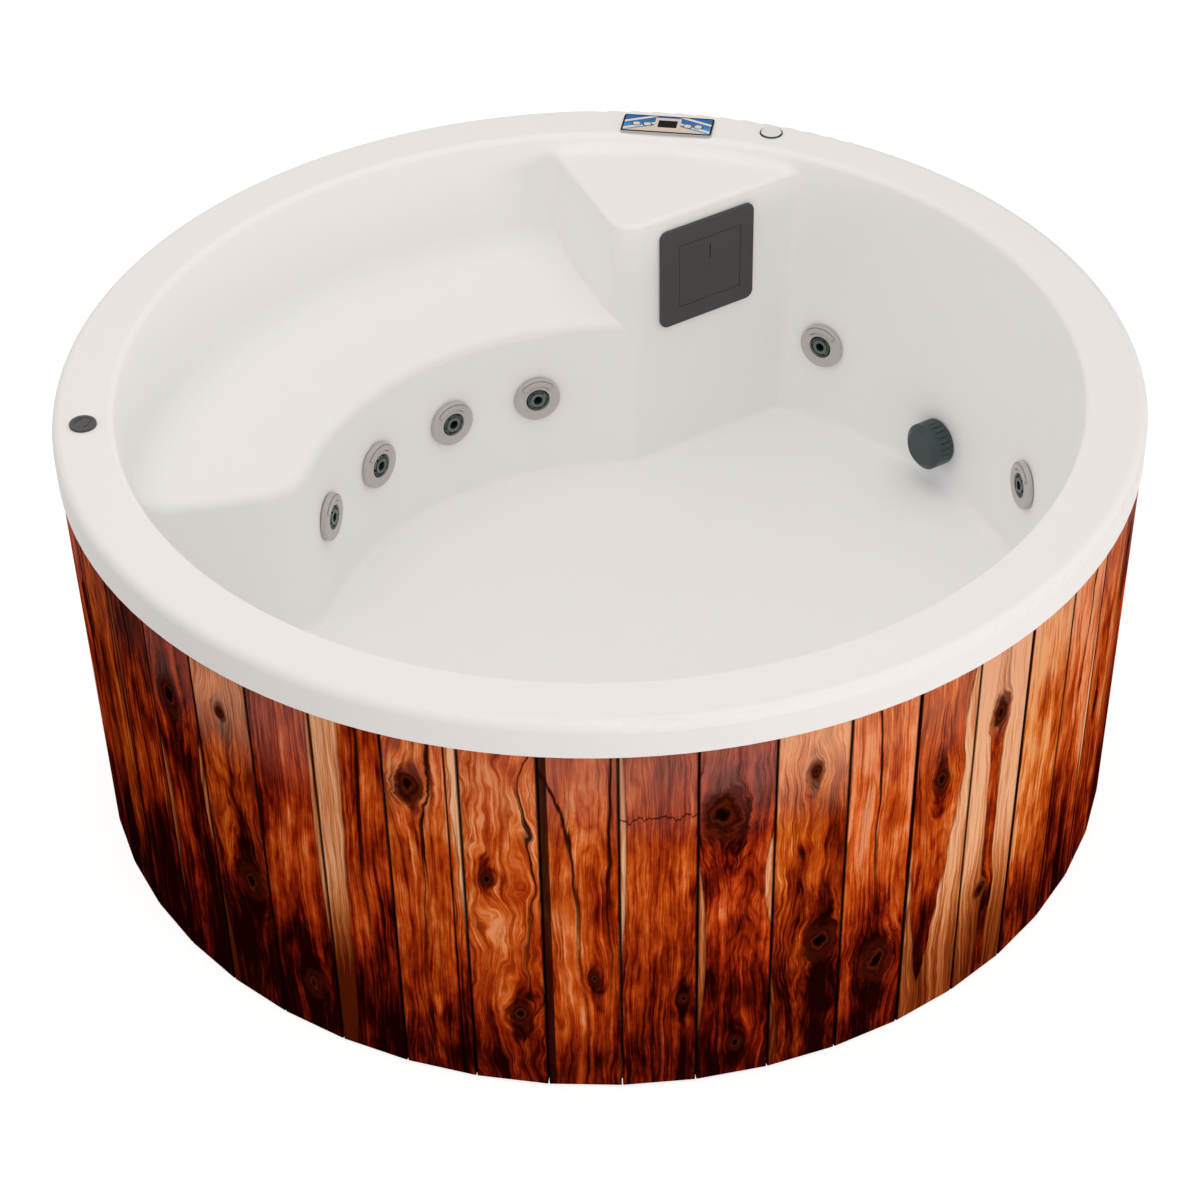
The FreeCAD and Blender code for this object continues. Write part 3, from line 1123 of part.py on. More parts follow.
def build():
    """All pieces by node name."""
    nodes = {}
    jet_hole = disc(JET_BODY_RADIUS + LOOSE_FIT, -JET_BODY_DEPTH, JET_FACE_HEIGHT)
    cutters = [placed(jet_hole, seat) for seat in JET_SEATS]
    suction_hole = disc(SUCTION_BODY_RADIUS + LOOSE_FIT, -JET_BODY_DEPTH, JET_FACE_HEIGHT)
    cutters.append(placed(suction_hole, SUCTION_SEAT))
    throat = slab(THROAT_WIDTH + LOOSE_FIT, THROAT_HEIGHT + LOOSE_FIT, -THROAT_DEPTH, PLATE_BACK, DOOR_CENTRE)
    cutters.append(placed(throat, SKIMMER_SEAT))
    board = slab(PANEL_BODY_WIDTH + LOOSE_FIT, PANEL_BODY_DEPTH + LOOSE_FIT, -PANEL_BODY_DROP, 1)
    cutters.append(placed(board, PANEL_SEAT))
    cutters.append(placed(disc(AIR_BUTTON_BODY + LOOSE_FIT, -AIR_BUTTON_DROP, 1), AIR_BUTTON_SEAT))
    cutters.append(placed(disc(VALVE_RADIUS + LOOSE_FIT, -VALVE_DROP, 1), KNOB_SEAT))
    shell = make_shell(cutters)
    nodes["shell"] = zoned(shell)

    gland = gland_frame()
    gland_hole = placed(disc(GLAND_RADIUS + SIDE_GAP, -FAR / 4, FAR / 4), gland)
    others = [stave(index) for index in range(STAVE_COUNT) if index != GLAND_STAVE_INDEX]
    nodes["skirt_staves"] = Part.Compound(others)
    nodes["gland_stave"] = stave(GLAND_STAVE_INDEX).cut(gland_hole)
    nodes["cable_gland"] = placed(cable_gland(), gland)
    nodes["base_pan"] = disc(stave_inner_radius(STAVE_FOOT_HEIGHT) - RAIL_GAP, 0, BASE_THICKNESS)
    nodes["bottom_rail"] = rail(BASE_THICKNESS).cut(gland_hole)
    nodes["top_rail"] = rail(TOP_RAIL_HEIGHT)
    nodes["frame_posts"] = make_posts()
    nodes["floor_bearers"] = make_bearers()

    water_z = JET_HEIGHT - WATER_DROP
    air_z = JET_HEIGHT + AIR_RISE
    water_path = header_path(water_z, BENCH_JET_ANGLES[0] + WATER_END_TURN)
    air_path = header_path(air_z, BENCH_JET_ANGLES[0] + AIR_END_TURN)
    water_pipe, water_bore = tube_along(water_path, WATER_PIPE_RADIUS)
    air_pipe, air_bore = tube_along(air_path, AIR_PIPE_RADIUS)
    feed_pipe, feed_bore = tube_along(air_feed_path(air_z), AIR_PIPE_RADIUS)
    air_space = rod_along(air_path, AIR_PIPE_RADIUS)
    jet_body = fitting_body(JET_BODY_RADIUS, JET_BARREL_RADIUS + RUN_FIT, JET_FLANGE_RADIUS, JET_BODY_DEPTH)
    jet_space = group(disc(JET_BODY_RADIUS + SEAT_GAP, -JET_BODY_DEPTH - SEAT_GAP, 0), JET_SEATS)
    nodes["jet_bodies"] = group(jet_body, JET_SEATS).cut(Part.Compound([water_bore, air_bore]))
    nodes["jet_locknuts"] = group(lock_nut(JET_BODY_RADIUS, NUT_MARGIN), JET_SEATS)
    gaskets = [wall_gasket(JET_BODY_RADIUS + LOOSE_FIT, JET_FLANGE_RADIUS, seat, shell) for seat in JET_SEATS]
    nodes["jet_gaskets"] = Part.Compound(gaskets)
    for number, seat in enumerate(JET_SEATS, 1):
        nodes[f"jet_face_{number}"] = placed(jet_face(), seat)
        nodes[f"jet_nozzle_{number}"] = placed(jet_nozzle(), seat)

    suction_wall, suction_bore = tube_along(suction_path(), SUCTION_PIPE_RADIUS)
    suction_body = fitting_body(
        SUCTION_BODY_RADIUS, SUCTION_BODY_RADIUS - SUCTION_WALL, SUCTION_FLANGE_RADIUS, SUCTION_BODY_DEPTH)
    outlet_mouth = placed(disc(SUCTION_BODY_RADIUS + SEAT_GAP, -FAR, 0), SUCTION_SEAT)
    nodes["suction_body"] = placed(suction_body, SUCTION_SEAT).cut(suction_bore)
    nodes["suction_locknut"] = placed(lock_nut(SUCTION_BODY_RADIUS, NUT_MARGIN), SUCTION_SEAT)
    suction_way = SUCTION_BODY_RADIUS + LOOSE_FIT
    nodes["suction_gasket"] = wall_gasket(suction_way, SUCTION_FLANGE_RADIUS, SUCTION_SEAT, shell)
    nodes["suction_cover"] = placed(suction_cover(), SUCTION_SEAT)

    nodes["skimmer_gasket"] = placed(skimmer_gasket(), SKIMMER_SEAT)
    nodes["skimmer_faceplate"] = placed(skimmer_faceplate(), SKIMMER_SEAT)
    nodes["weir_flap"] = placed(weir_flap(), SKIMMER_SEAT)
    nodes["weir_pin"] = placed(weir_pin(), SKIMMER_SEAT)
    nodes["skimmer_housing"] = skimmer_housing()
    nodes["filter_cartridge"] = filter_cartridge()

    nodes["panel_housing"] = placed(panel_housing(), PANEL_SEAT)
    nodes["panel_overlay"] = placed(panel_overlay(), PANEL_SEAT)
    nodes["panel_display"] = placed(panel_display(), PANEL_SEAT)
    for index in range(len(BUTTON_X)):
        nodes[f"panel_button_{index + 1}"] = placed(panel_button(index), PANEL_SEAT)

    nodes["air_button_body"] = placed(air_button_body(), AIR_BUTTON_SEAT)
    nodes["air_button_cap"] = placed(air_button_cap(), AIR_BUTTON_SEAT)
    nodes["air_button_bellows"] = placed(air_button_bellows(), AIR_BUTTON_SEAT)
    nodes["air_button_nut"] = placed(lock_nut(AIR_BUTTON_BODY, RIM_NUT_MARGIN), AIR_BUTTON_SEAT)
    nodes["air_valve_body"] = placed(air_valve_body(), KNOB_SEAT)
    nodes["air_valve_nut"] = placed(lock_nut(VALVE_RADIUS, RIM_NUT_MARGIN), KNOB_SEAT)
    nodes["air_knob"] = placed(air_knob(), KNOB_SEAT)

    nodes["pump_volute"] = placed(pump_volute(), PUMP_SEAT)
    nodes["pump_motor"] = placed(pump_motor(), PUMP_SEAT)
    nodes["pump_impeller"] = placed(pump_impeller(), PUMP_SEAT)
    nodes["pump_feet"] = placed(pump_feet(), PUMP_SEAT)
    nodes["heater_tube"] = placed(heater_tube(), HEATER_SEAT)
    nodes["control_box"] = control_box()

    rise_wall = tube_along(pressure_path(), OUTLET_PIPE_RADIUS)[0]
    outlet_wall, outlet_bore = tube_along(heater_outlet_path(water_z), OUTLET_PIPE_RADIUS)
    header_space = rod_along(water_path, WATER_PIPE_RADIUS)
    nodes["water_line"] = water_pipe.cut(jet_space).cut(outlet_bore)
    nodes["air_line"] = Part.Compound([air_pipe.cut(jet_space).cut(feed_bore), feed_pipe.cut(air_space)])
    nodes["pressure_pipe"] = Part.Compound([rise_wall, outlet_wall.cut(header_space)])
    skimmer_drop = bent_path([CANISTER_FRAME.Base + UP * (CANISTER_FOOT - SUCTION_PIPE_RADIUS),
                              CANISTER_FRAME.Base + UP * PUMP_HEIGHT], PIPE_BEND)
    drop_wall, drop_bore = tube_along(skimmer_drop, SUCTION_PIPE_RADIUS)
    line_space = rod_along(suction_path(), SUCTION_PIPE_RADIUS)
    nodes["suction_pipe"] = suction_wall.cut(outlet_mouth).cut(drop_bore)
    nodes["skimmer_pipe"] = drop_wall.cut(line_space)
    return nodes


os.makedirs("parts", exist_ok=True)
for name, shape in build().items():
    shape.exportStep(f"parts/{name}.step")
    print(name, len(shape.Solids), shape.isValid(), round(shape.Volume / 1000.0, 2))
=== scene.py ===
import math
import random

import bpy
from mathutils import Matrix, Vector


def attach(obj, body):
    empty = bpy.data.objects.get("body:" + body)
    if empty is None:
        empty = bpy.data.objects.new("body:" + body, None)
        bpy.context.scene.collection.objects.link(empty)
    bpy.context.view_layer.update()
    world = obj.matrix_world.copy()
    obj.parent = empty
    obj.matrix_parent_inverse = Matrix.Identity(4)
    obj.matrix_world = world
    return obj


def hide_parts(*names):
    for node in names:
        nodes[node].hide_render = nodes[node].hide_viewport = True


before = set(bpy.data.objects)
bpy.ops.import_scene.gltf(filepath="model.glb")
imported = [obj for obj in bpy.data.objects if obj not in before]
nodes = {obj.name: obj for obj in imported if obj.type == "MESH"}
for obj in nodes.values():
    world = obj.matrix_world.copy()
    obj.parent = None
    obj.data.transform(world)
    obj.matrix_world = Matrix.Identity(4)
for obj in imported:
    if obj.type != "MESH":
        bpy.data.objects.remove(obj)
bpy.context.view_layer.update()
print("frame loaded,", len(nodes), "CAD nodes")


# Small helpers for selecting and for nodes

def toLinear(hexColour):
    channels = [int(hexColour[i:i + 2], 16) / 255 for i in (1, 3, 5)]
    return tuple(c / 12.92 if c <= 0.04045 else ((c + 0.055) / 1.055) ** 2.4 for c in channels) + (1.0,)


def addNode(tree, kind, inputs=None, stops=None, **settings):
    node = tree.nodes.new(kind)
    for name, value in settings.items():
        setattr(node, name, value)
    for socket, value in (inputs or {}).items():
        if isinstance(value, bpy.types.NodeSocket):
            tree.links.new(value, node.inputs[socket])
        else:
            node.inputs[socket].default_value = value
    for place, (position, colour) in enumerate(stops or []):
        ramp = node.color_ramp.elements
        stop = ramp[place] if place < len(ramp) else ramp.new(position)
        stop.position = position
        stop.color = toLinear(colour)
    return node


def newMaterial(name, sockets):
    material = bpy.data.materials.new(name)
    material.use_nodes = True
    shader = material.node_tree.nodes["Principled BSDF"]
    for socket, value in sockets.items():
        shader.inputs[socket].default_value = value
    return material, material.node_tree, shader


def makeActive(piece):
    bpy.ops.object.select_all(action="DESELECT")
    piece.select_set(True)
    bpy.context.view_layer.objects.active = piece


def pickVertices(piece, test):
    bpy.ops.object.mode_set(mode="OBJECT")
    for part in (piece.data.polygons, piece.data.edges, piece.data.vertices):
        part.foreach_set("select", [False] * len(part))
    for vertex in piece.data.vertices:
        vertex.select = test(vertex.co)
    bpy.ops.object.mode_set(mode="EDIT")
    bpy.ops.mesh.select_mode(type="VERT")


def applyModifier(piece, kind, **settings):
    modifier = piece.modifiers.new(kind.title(), kind)
    for name, value in settings.items():
        setattr(modifier, name, value)
    makeActive(piece)
    bpy.ops.object.modifier_apply(modifier=modifier.name)


def dress(piece, material):
    piece.data.materials.clear()
    piece.data.materials.append(material)


# Skirt: upright boards, modelled once and set round the tub, with sizes in metres

skirt = {
    "count": 48, "phaseDeg": 1.07, "topRadius": 0.846, "footRadius": 0.838, "thickness": 0.016,
    "foot": 0.004, "top": 0.661, "joint": 0.0016, "easedEdge": 0.0016, "edgeSteps": 3, "smoothDeg": 50,
    "glandBoard": 17, "glandHole": 0.0102, "glandHeight": 0.095, "drillLength": 0.2, "drillSides": 48,
    "seed": 7, "numberStep": 0.37,
}

# What shows on single boards, counted from the front, with lengths in mm from the board's middle and top:
# tone (lightness, painted pale sheen at the top or with a minus a painted purple sheen, painted shade at the foot),
# figure (hue, swirl, crack); the lightness holds the board's own tone and also painted light, lighter on the
# boards to the right and darker on those to the left as the light falls off, and the painted foot shade is
# deeper on the boards at the sides,
# sap (left edge, right edge, slope), slivers of sapwood (width, middle, half height) on the left and right edge,
# knots (across, down, radius), veins (across at the top, across at the foot, length of the bend),
# edge (seam, dark band on the left)
boardLooks = {
    0: {"tone": (0.05, -0.6, 0.66), "figure": (-0.1, 0.2, 118), "left": (9, 150, 250), "knots": [(36, 480, 7)]},
    1: {"tone": (-0.03, -0.6, 0.68), "figure": (-0.25, 0.3, -300), "left": (12, 390, 185), "right": (11, 264, 95),
        "knots": [(-20, 128, 25), (4, 590, 10)]},
    2: {"tone": (0.03, 1.0, 0.85), "figure": (0.05, 0.5, -300), "left": (13, 640, 190),
        "knots": [(3, 80, 9), (22, 420, 20)]},
    3: {"tone": (0.16, 0.3, 0.92), "figure": (-0.15, 0.1, -300), "knots": [(9, 500, 22)], "veins": [(-13, 10, 300)]},
    4: {"tone": (0.06, 0.3, 0.7), "figure": (-0.1, 0.2, -300), "sap": (-80, 51, 100), "right": (90, 720, 300),
        "knots": [(-4, 190, 13)], "edge": (200, 4)},
    5: {"tone": (0.13, 1.2, 1.0), "figure": (0.0, 0.1, -300), "sap": (-7, 11, 0),
        "knots": [(-2, 120, 16), (-8, 470, 11)]},
    6: {"tone": (0.29, 0.7, 1.2), "figure": (0.05, 0.1, -300), "edge": (200, 5)},
    7: {"tone": (0.26, 0.5, 1.2), "figure": (-0.12, 0.3, -300), "right": (8, 300, 200), "veins": [(20, -10, 300)]},
    8: {"tone": (0.15, -0.4, 0.9), "figure": (-0.1, 0.3, -300), "knots": [(-10, 330, 10)]},
    -1: {"tone": (0.2, -0.5, 0.75), "figure": (-0.1, 0.2, -300), "knots": [(17, 430, 8)],
         "veins": [(-74, -1, 110), (46, 26, 420)], "edge": (200, 12)},
    -2: {"tone": (0.26, -0.2, 0.85), "figure": (-0.1, 0.8, -300), "knots": [(-23, 240, 9), (18, 510, 14)],
         "veins": [(40, 26, 330)]},
    -3: {"tone": (0.16, 0.2, 0.9), "figure": (-0.1, 0.2, -300), "sap": (-80, 38, -55), "knots": [(-20, 88, 18)],
         "veins": [(10, -16, 300)], "edge": (37, 0)},
    -4: {"tone": (0.05, 0.0, 1.4), "figure": (-0.15, 0.1, -300), "sap": (-12, 80, -30), "veins": [(12, 8, 300)]},
    -5: {"tone": (-0.05, -0.5, 0.9), "figure": (-0.2, 0.1, -300), "right": (9, 200, 300), "knots": [(10, 560, 15)]},
    -6: {"tone": (-0.12, 0.8, 0.85), "figure": (0.05, 0.4, -300), "left": (13, 640, 190),
         "knots": [(-4, 78, 9), (18, 402, 19)]},
    -7: {"tone": (-0.16, -0.3, 0.7), "figure": (-0.2, 0.3, -300), "left": (11, 390, 185), "right": (11, 264, 110),
         "knots": [(-12, 118, 20)]},
    -8: {"tone": (-0.28, -0.1, 0.6), "figure": (-0.1, 0.2, -300), "left": (9, 150, 250), "veins": [(-20, 10, 300)]},
    -9: {"tone": (-0.1, 0.1, 1.1), "figure": (0.2, 0.2, -300), "veins": [(46, 26, 420)]},
}


def modelBoard(s):
    bpy.ops.object.select_all(action="DESELECT")
    bpy.ops.mesh.primitive_cube_add(size=1)
    board = bpy.context.active_object
    height, turn, nearly = s["top"] - s["foot"], math.tan(math.pi / s["count"]), 0.001
    width = 2 * s["topRadius"] * turn - s["joint"]
    bpy.ops.object.mode_set(mode="EDIT")
    bpy.ops.mesh.select_all(action="SELECT")
    bpy.ops.transform.resize(value=(width, s["thickness"], height))
    bpy.ops.transform.translate(value=(0, s["thickness"] / 2 - s["topRadius"], s["foot"] + height / 2))
    # the back is narrower than the front, and the foot stands further in than the top
    pickVertices(board, lambda co: co.y > nearly - s["topRadius"])
    backShare = 1 - 2 * s["thickness"] * turn / width
    bpy.ops.transform.resize(value=(backShare, 1, 1), center_override=(0, 0, 0))
    pickVertices(board, lambda co: co.z < s["foot"] + nearly)
    bpy.ops.transform.resize(value=(s["footRadius"] / s["topRadius"], 1, 1), center_override=(0, 0, 0))
    bpy.ops.transform.translate(value=(0, s["topRadius"] - s["footRadius"], 0))
    bpy.ops.object.mode_set(mode="OBJECT")
    applyModifier(board, "BEVEL", width=s["easedEdge"], segments=s["edgeSteps"], limit_method="ANGLE")
    bpy.ops.object.shade_smooth_by_angle(angle=math.radians(s["smoothDeg"]))
    return board


def cutGlandHole(board, s):
    bpy.ops.object.select_all(action="DESELECT")
    bpy.ops.mesh.primitive_cylinder_add(vertices=s["drillSides"], radius=s["glandHole"], depth=s["drillLength"],
                                        rotation=(math.pi / 2, 0, 0),
                                        location=(0, -s["footRadius"], s["glandHeight"]))
    drill = bpy.context.active_object
    applyModifier(board, "BOOLEAN", operation="DIFFERENCE", object=drill, solver="EXACT")
    bpy.data.objects.remove(drill)


# boards that the dictionary doesn't name get looks of the same kinds by chance
def rollLooks(dice):
    looks = {"tone": (dice.uniform(-0.08, 0.14), dice.uniform(-0.9, 0.9), dice.uniform(0.4, 0.9)),
             "figure": (dice.uniform(-0.25, 0.25), dice.uniform(0.0, 0.6), -300),
             "knots": [(dice.uniform(-30, 30), dice.uniform(60, 600), dice.uniform(7, 22))],
             "veins": [(dice.uniform(-50, 50), dice.uniform(-30, 30), dice.uniform(100, 400))]}
    looks[dice.choice(("left", "right"))] = (dice.uniform(6, 14), dice.uniform(100, 600), dice.uniform(100, 260))
    return looks


def setBoard(template, index, s, dice):
    board = template.copy()
    board.data = template.data.copy()
    board.name = f"skirt_board_{index + 1:02d}"
    bpy.context.scene.collection.objects.link(board)
    if index == s["glandBoard"]:
        cutGlandHole(board, s)
    seen = index if index < s["count"] / 2 else index - s["count"]
    looks = boardLooks.get(seen) or rollLooks(dice)
    away = 400  # what a board lacks lies far off it
    hue, swirl, crack = looks["figure"]
    values = {"tone": [1000 * share for share in looks["tone"]], "figure": (1000 * hue, 1000 * swirl, crack),
              "sapwood": looks.get("sap", (-away, away, 0)), "sliverL": looks.get("left", (0, 0, away)),
              "sliverR": looks.get("right", (0, 0, away)), "edge": (*looks.get("edge", (away, 0)), 0)}
    for kind, letters, spare in (("knot", "ABC", (away, away, 4)), ("vein", "AB", (away, away, 100))):
        found = looks.get(kind + "s", [])
        for place, letter in enumerate(letters):
            values[kind + letter] = found[place] if place < len(found) else spare
    count = len(board.data.vertices)
    for name, value in values.items():
        board.data.attributes.new(name, "FLOAT_VECTOR", "POINT").data.foreach_set(
            "vector", [part / 1000 for part in value] * count)
    grain = board.data.attributes.new("grain", "FLOAT_VECTOR", "POINT")
    for vertex in board.data.vertices:  # across and down the board, the third is its own number
        grain.data[vertex.index].vector = (vertex.co.x, s["top"] - vertex.co.z, index * s["numberStep"])
    makeActive(board)
    board.rotation_euler.z = math.radians(s["phaseDeg"] + 360 / s["count"] * (index + 0.5))
    bpy.ops.object.transform_apply(location=True, rotation=True, scale=True)
    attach(board, "tub")
    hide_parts("gland_stave" if index == s["glandBoard"] else "skirt_staves")
    return board


# Varnished acacia: strong red-brown heartwood, pale sapwood slivers, and knots that the grain flows round.
# Lengths are in metres where no note says mm. A level picks a colour from the stops of its wood
acacia = {
    # waves of the grain: how many to the metre, reach, detail, and further reach where the board is figured
    "waves": (((9, 2.6, 17), 0.032, 1, 0.0), ((22, 12, 31), 0.003, 2, 0.055)),
    # streaks: width and length in mm, detail, seed; fibres are drawn coarser than real ones, which no picture shows
    "streaks": {"band": (26, 600, 5, 13), "ring": (5, 380, 3, 7), "vein": (16, 900, 2, 29), "fibre": (1.8, 60, 3, 5),
                "patch": (70, 190, 6, 3), "blotch": (24, 80, 5, 17), "arch": (60, 620, 1, 23)},
    "streakRough": 0.62,
    # knots and the dark wood above and below them, measured in radii of the knot
    "knotLumps": 42, "knotSquash": (1, 0.66, 0), "knotRagged": 1.5, "knotPush": -1.5, "knotBlend": (1.6, 0.6),
    "knot": ((0.0, "#0b0201"), (0.3, "#1c0602"), (0.5, "#5a1d0a"), (0.7, "#2c0903"), (1.0, "#4a1306")),
    "tailSquash": (1, 0.3, 0), "tailRagged": 2.4, "tailReach": (2.7, 1.7),
    "haloRagged": 3.0, "haloReach": (2.1, 0.9), "haloShade": 0.6,
    # growth rings: their number across the clouds that they are the contour lines of, their curl round knots
    "growthRings": 15.0, "growthCurl": 2.4, "growthEye": 0.8, "growthWidth": 0.26, "growthShade": -0.15,
    # where the painted pale or purple sheen at the top begins and is full, and the painted shade at the foot
    "topReach": (0.19, 0.02), "topThread": 0.8, "topBlend": (0.65, 1.1), "topShare": (0.3, 1.2),
    "topSheenTones": ((0.75, "#efaf8a"), (-1.0, "#ae7266")), "footReach": (0.28, 0.64),
    "heartLevel": -1.83, "heartGreen": 0.9,
    # the foot weights paint shade at the foot, and the top sheen lift paints a sheen at the top
    "heartWeights": {"lightness": 1.0, "growth": 1.0, "tail": -0.3, "band": 1.15, "ring": 0.85, "patch": 1.4,
                     "blotch": 0.8, "fibre": 0.6, "foot": -0.52, "topSheenLift": 0.3},
    "heart": ((0.0, "#1e0200"), (0.15, "#3c0802"), (0.3, "#651604"), (0.45, "#902908"), (0.6, "#b6440f"),
              (0.75, "#d2601c"), (0.88, "#ea813c"), (1.0, "#f4a36a")),
    "sapLevel": -0.1, "sapBlend": (-0.0008, 0.0012), "sapRagged": 0.014, "sliverRagged": 0.006,
    "sapWeights": {"ring": 0.9, "fibre": 0.5, "band": 0.5, "foot": -0.6, "lightness": 1.1},
    "sap": ((0.35, "#5a1c05"), (0.6, "#9c4a1c"), (0.8, "#d6834c"), (1.0, "#f8bd93")),
    # dark lines: half width of the full shade, where it ends, and its strength
    "softVein": (0.004, 0.03, 0.5), "sapRim": (0.0004, 0.003, 0.45), "strongVein": (0.0008, 0.0045, 0.96),
    "crack": (0.0006, 0.0026, 0.85), "seam": (0.0009, 0.0024, 0.95),
    "veinFade": (0.25, 0.5), "veinFoot": 0.3, "crackWaves": (60, 0, 5), "crackSwing": 0.05,
    # half width of a board, how much of it is lost to the metre downwards, and the shade at its edges
    "halfWidth": 0.054, "taper": 0.00079, "edgeStart": 0.0518, "edgeShade": 0.9,
    "leftSide": 0.0545, "bandBlend": 0.0008, "bandShade": 0.95,
    "tones": {"vein": "#1a0502", "crack": "#160504", "band": "#2a0a04", "edge": "#0c0201", "seam": "#0a0201"},
    "roughness": (0.42, 0.58), "bump": 0.3, "bumpDepth": 0.0008, "veinDepth": -0.8,
}


# the grain wanders by some 20 mm over a third of a metre, and parts round a knot as a stream parts round a stone
def runGrain(tree, vectors, parts, s):
    line, down, number = parts["grain"]
    for scale, reach, detail, figured in s["waves"]:
        at = addNode(tree, "ShaderNodeVectorMath", {0: vectors["grain"], 1: scale}, operation="MULTIPLY").outputs[0]
        wave = addNode(tree, "ShaderNodeTexNoise", {"Vector": at, "Scale": 1, "Detail": detail}).outputs["Fac"]
        wave = addNode(tree, "ShaderNodeMath", {0: wave, 1: 0.5}, operation="SUBTRACT").outputs[0]
        width = addNode(tree, "ShaderNodeMath", {0: parts["figure"][1], 1: figured, 2: reach},
                        operation="MULTIPLY_ADD").outputs[0]
        line = addNode(tree, "ShaderNodeMath", {0: wave, 1: width, 2: line}, operation="MULTIPLY_ADD").outputs[0]
    bent = addNode(tree, "ShaderNodeCombineXYZ", {0: line, 1: down, 2: number}).outputs[0]
    lumps = addNode(tree, "ShaderNodeTexNoise", {"Vector": bent, "Scale": s["knotLumps"], "Detail": 3}).outputs["Fac"]
    nearest = spindle = 1000.0  # far from any knot
    for name in ("knotA", "knotB", "knotC"):
        away = addNode(tree, "ShaderNodeVectorMath", {0: vectors["grain"], 1: vectors[name]},
                       operation="SUBTRACT").outputs[0]
        away = addNode(tree, "ShaderNodeVectorMath", {0: away, 1: s["knotSquash"]}, operation="MULTIPLY").outputs[0]
        slim = addNode(tree, "ShaderNodeVectorMath", {0: away, 1: s["tailSquash"]}, operation="MULTIPLY").outputs[0]
        ratios = []
        for offset in (away, slim):
            far = addNode(tree, "ShaderNodeVectorMath", {0: offset}, operation="LENGTH").outputs["Value"]
            ratios.append(addNode(tree, "ShaderNodeMath", {0: far, 1: parts[name][2]}, operation="DIVIDE").outputs[0])
        ratio = addNode(tree, "ShaderNodeMath", {0: lumps, 1: s["knotRagged"], 2: ratios[0]},
                        operation="MULTIPLY_ADD").outputs[0]
        ratio = addNode(tree, "ShaderNodeMath", {0: ratio, 1: s["knotRagged"] / 2}, operation="SUBTRACT").outputs[0]
        outside = addNode(tree, "ShaderNodeMath", {0: ratio, 1: 1.0}, operation="MAXIMUM").outputs[0]
        share = addNode(tree, "ShaderNodeMath", {0: outside, 1: s["knotPush"]}, operation="POWER").outputs[0]
        sideways = addNode(tree, "ShaderNodeSeparateXYZ", {0: away}).outputs[0]
        push = addNode(tree, "ShaderNodeMath", {0: sideways, 1: share}, operation="MULTIPLY").outputs[0]
        line = addNode(tree, "ShaderNodeMath", {0: line, 1: push}, operation="SUBTRACT").outputs[0]
        nearest = addNode(tree, "ShaderNodeMath", {0: nearest, 1: ratio}, operation="MINIMUM").outputs[0]
        spindle = addNode(tree, "ShaderNodeMath", {0: spindle, 1: ratios[1]}, operation="MINIMUM").outputs[0]
    return line, nearest, spindle


# streaks are soft noise, stretched along the grain line
def drawStreaks(tree, line, down, number, s):
    lined = addNode(tree, "ShaderNodeCombineXYZ", {0: line, 1: down, 2: number}).outputs[0]
    streaks = {}
    for name, (width, length, detail, seed) in s["streaks"].items():
        at = addNode(tree, "ShaderNodeVectorMath", {0: lined, 1: (1000 / width, 1000 / length, seed)},
                     operation="MULTIPLY").outputs[0]
        streaks[name] = addNode(tree, "ShaderNodeTexNoise", {"Vector": at, "Scale": 1, "Detail": detail,
                                                             "Roughness": s["streakRough"]}).outputs["Fac"]
    return streaks


# growth rings are the contour lines of a long soft cloud, which close to arches and run round the knots
def drawGrowth(tree, cloud, nearest, s):
    curl = addNode(tree, "ShaderNodeMath", {0: nearest, 1: s["growthEye"]}, operation="MAXIMUM").outputs[0]
    curl = addNode(tree, "ShaderNodeMath", {0: s["growthCurl"], 1: curl}, operation="DIVIDE").outputs[0]
    ring = addNode(tree, "ShaderNodeMath", {0: cloud, 1: s["growthRings"], 2: curl},
                   operation="MULTIPLY_ADD").outputs[0]
    ring = addNode(tree, "ShaderNodeMath", {0: ring, 1: 0.5}, operation="PINGPONG").outputs[0]
    return addNode(tree, "ShaderNodeMapRange", {"Value": ring, "From Max": s["growthWidth"],
                                                "To Min": s["growthShade"], "To Max": 0.0}).outputs[0]


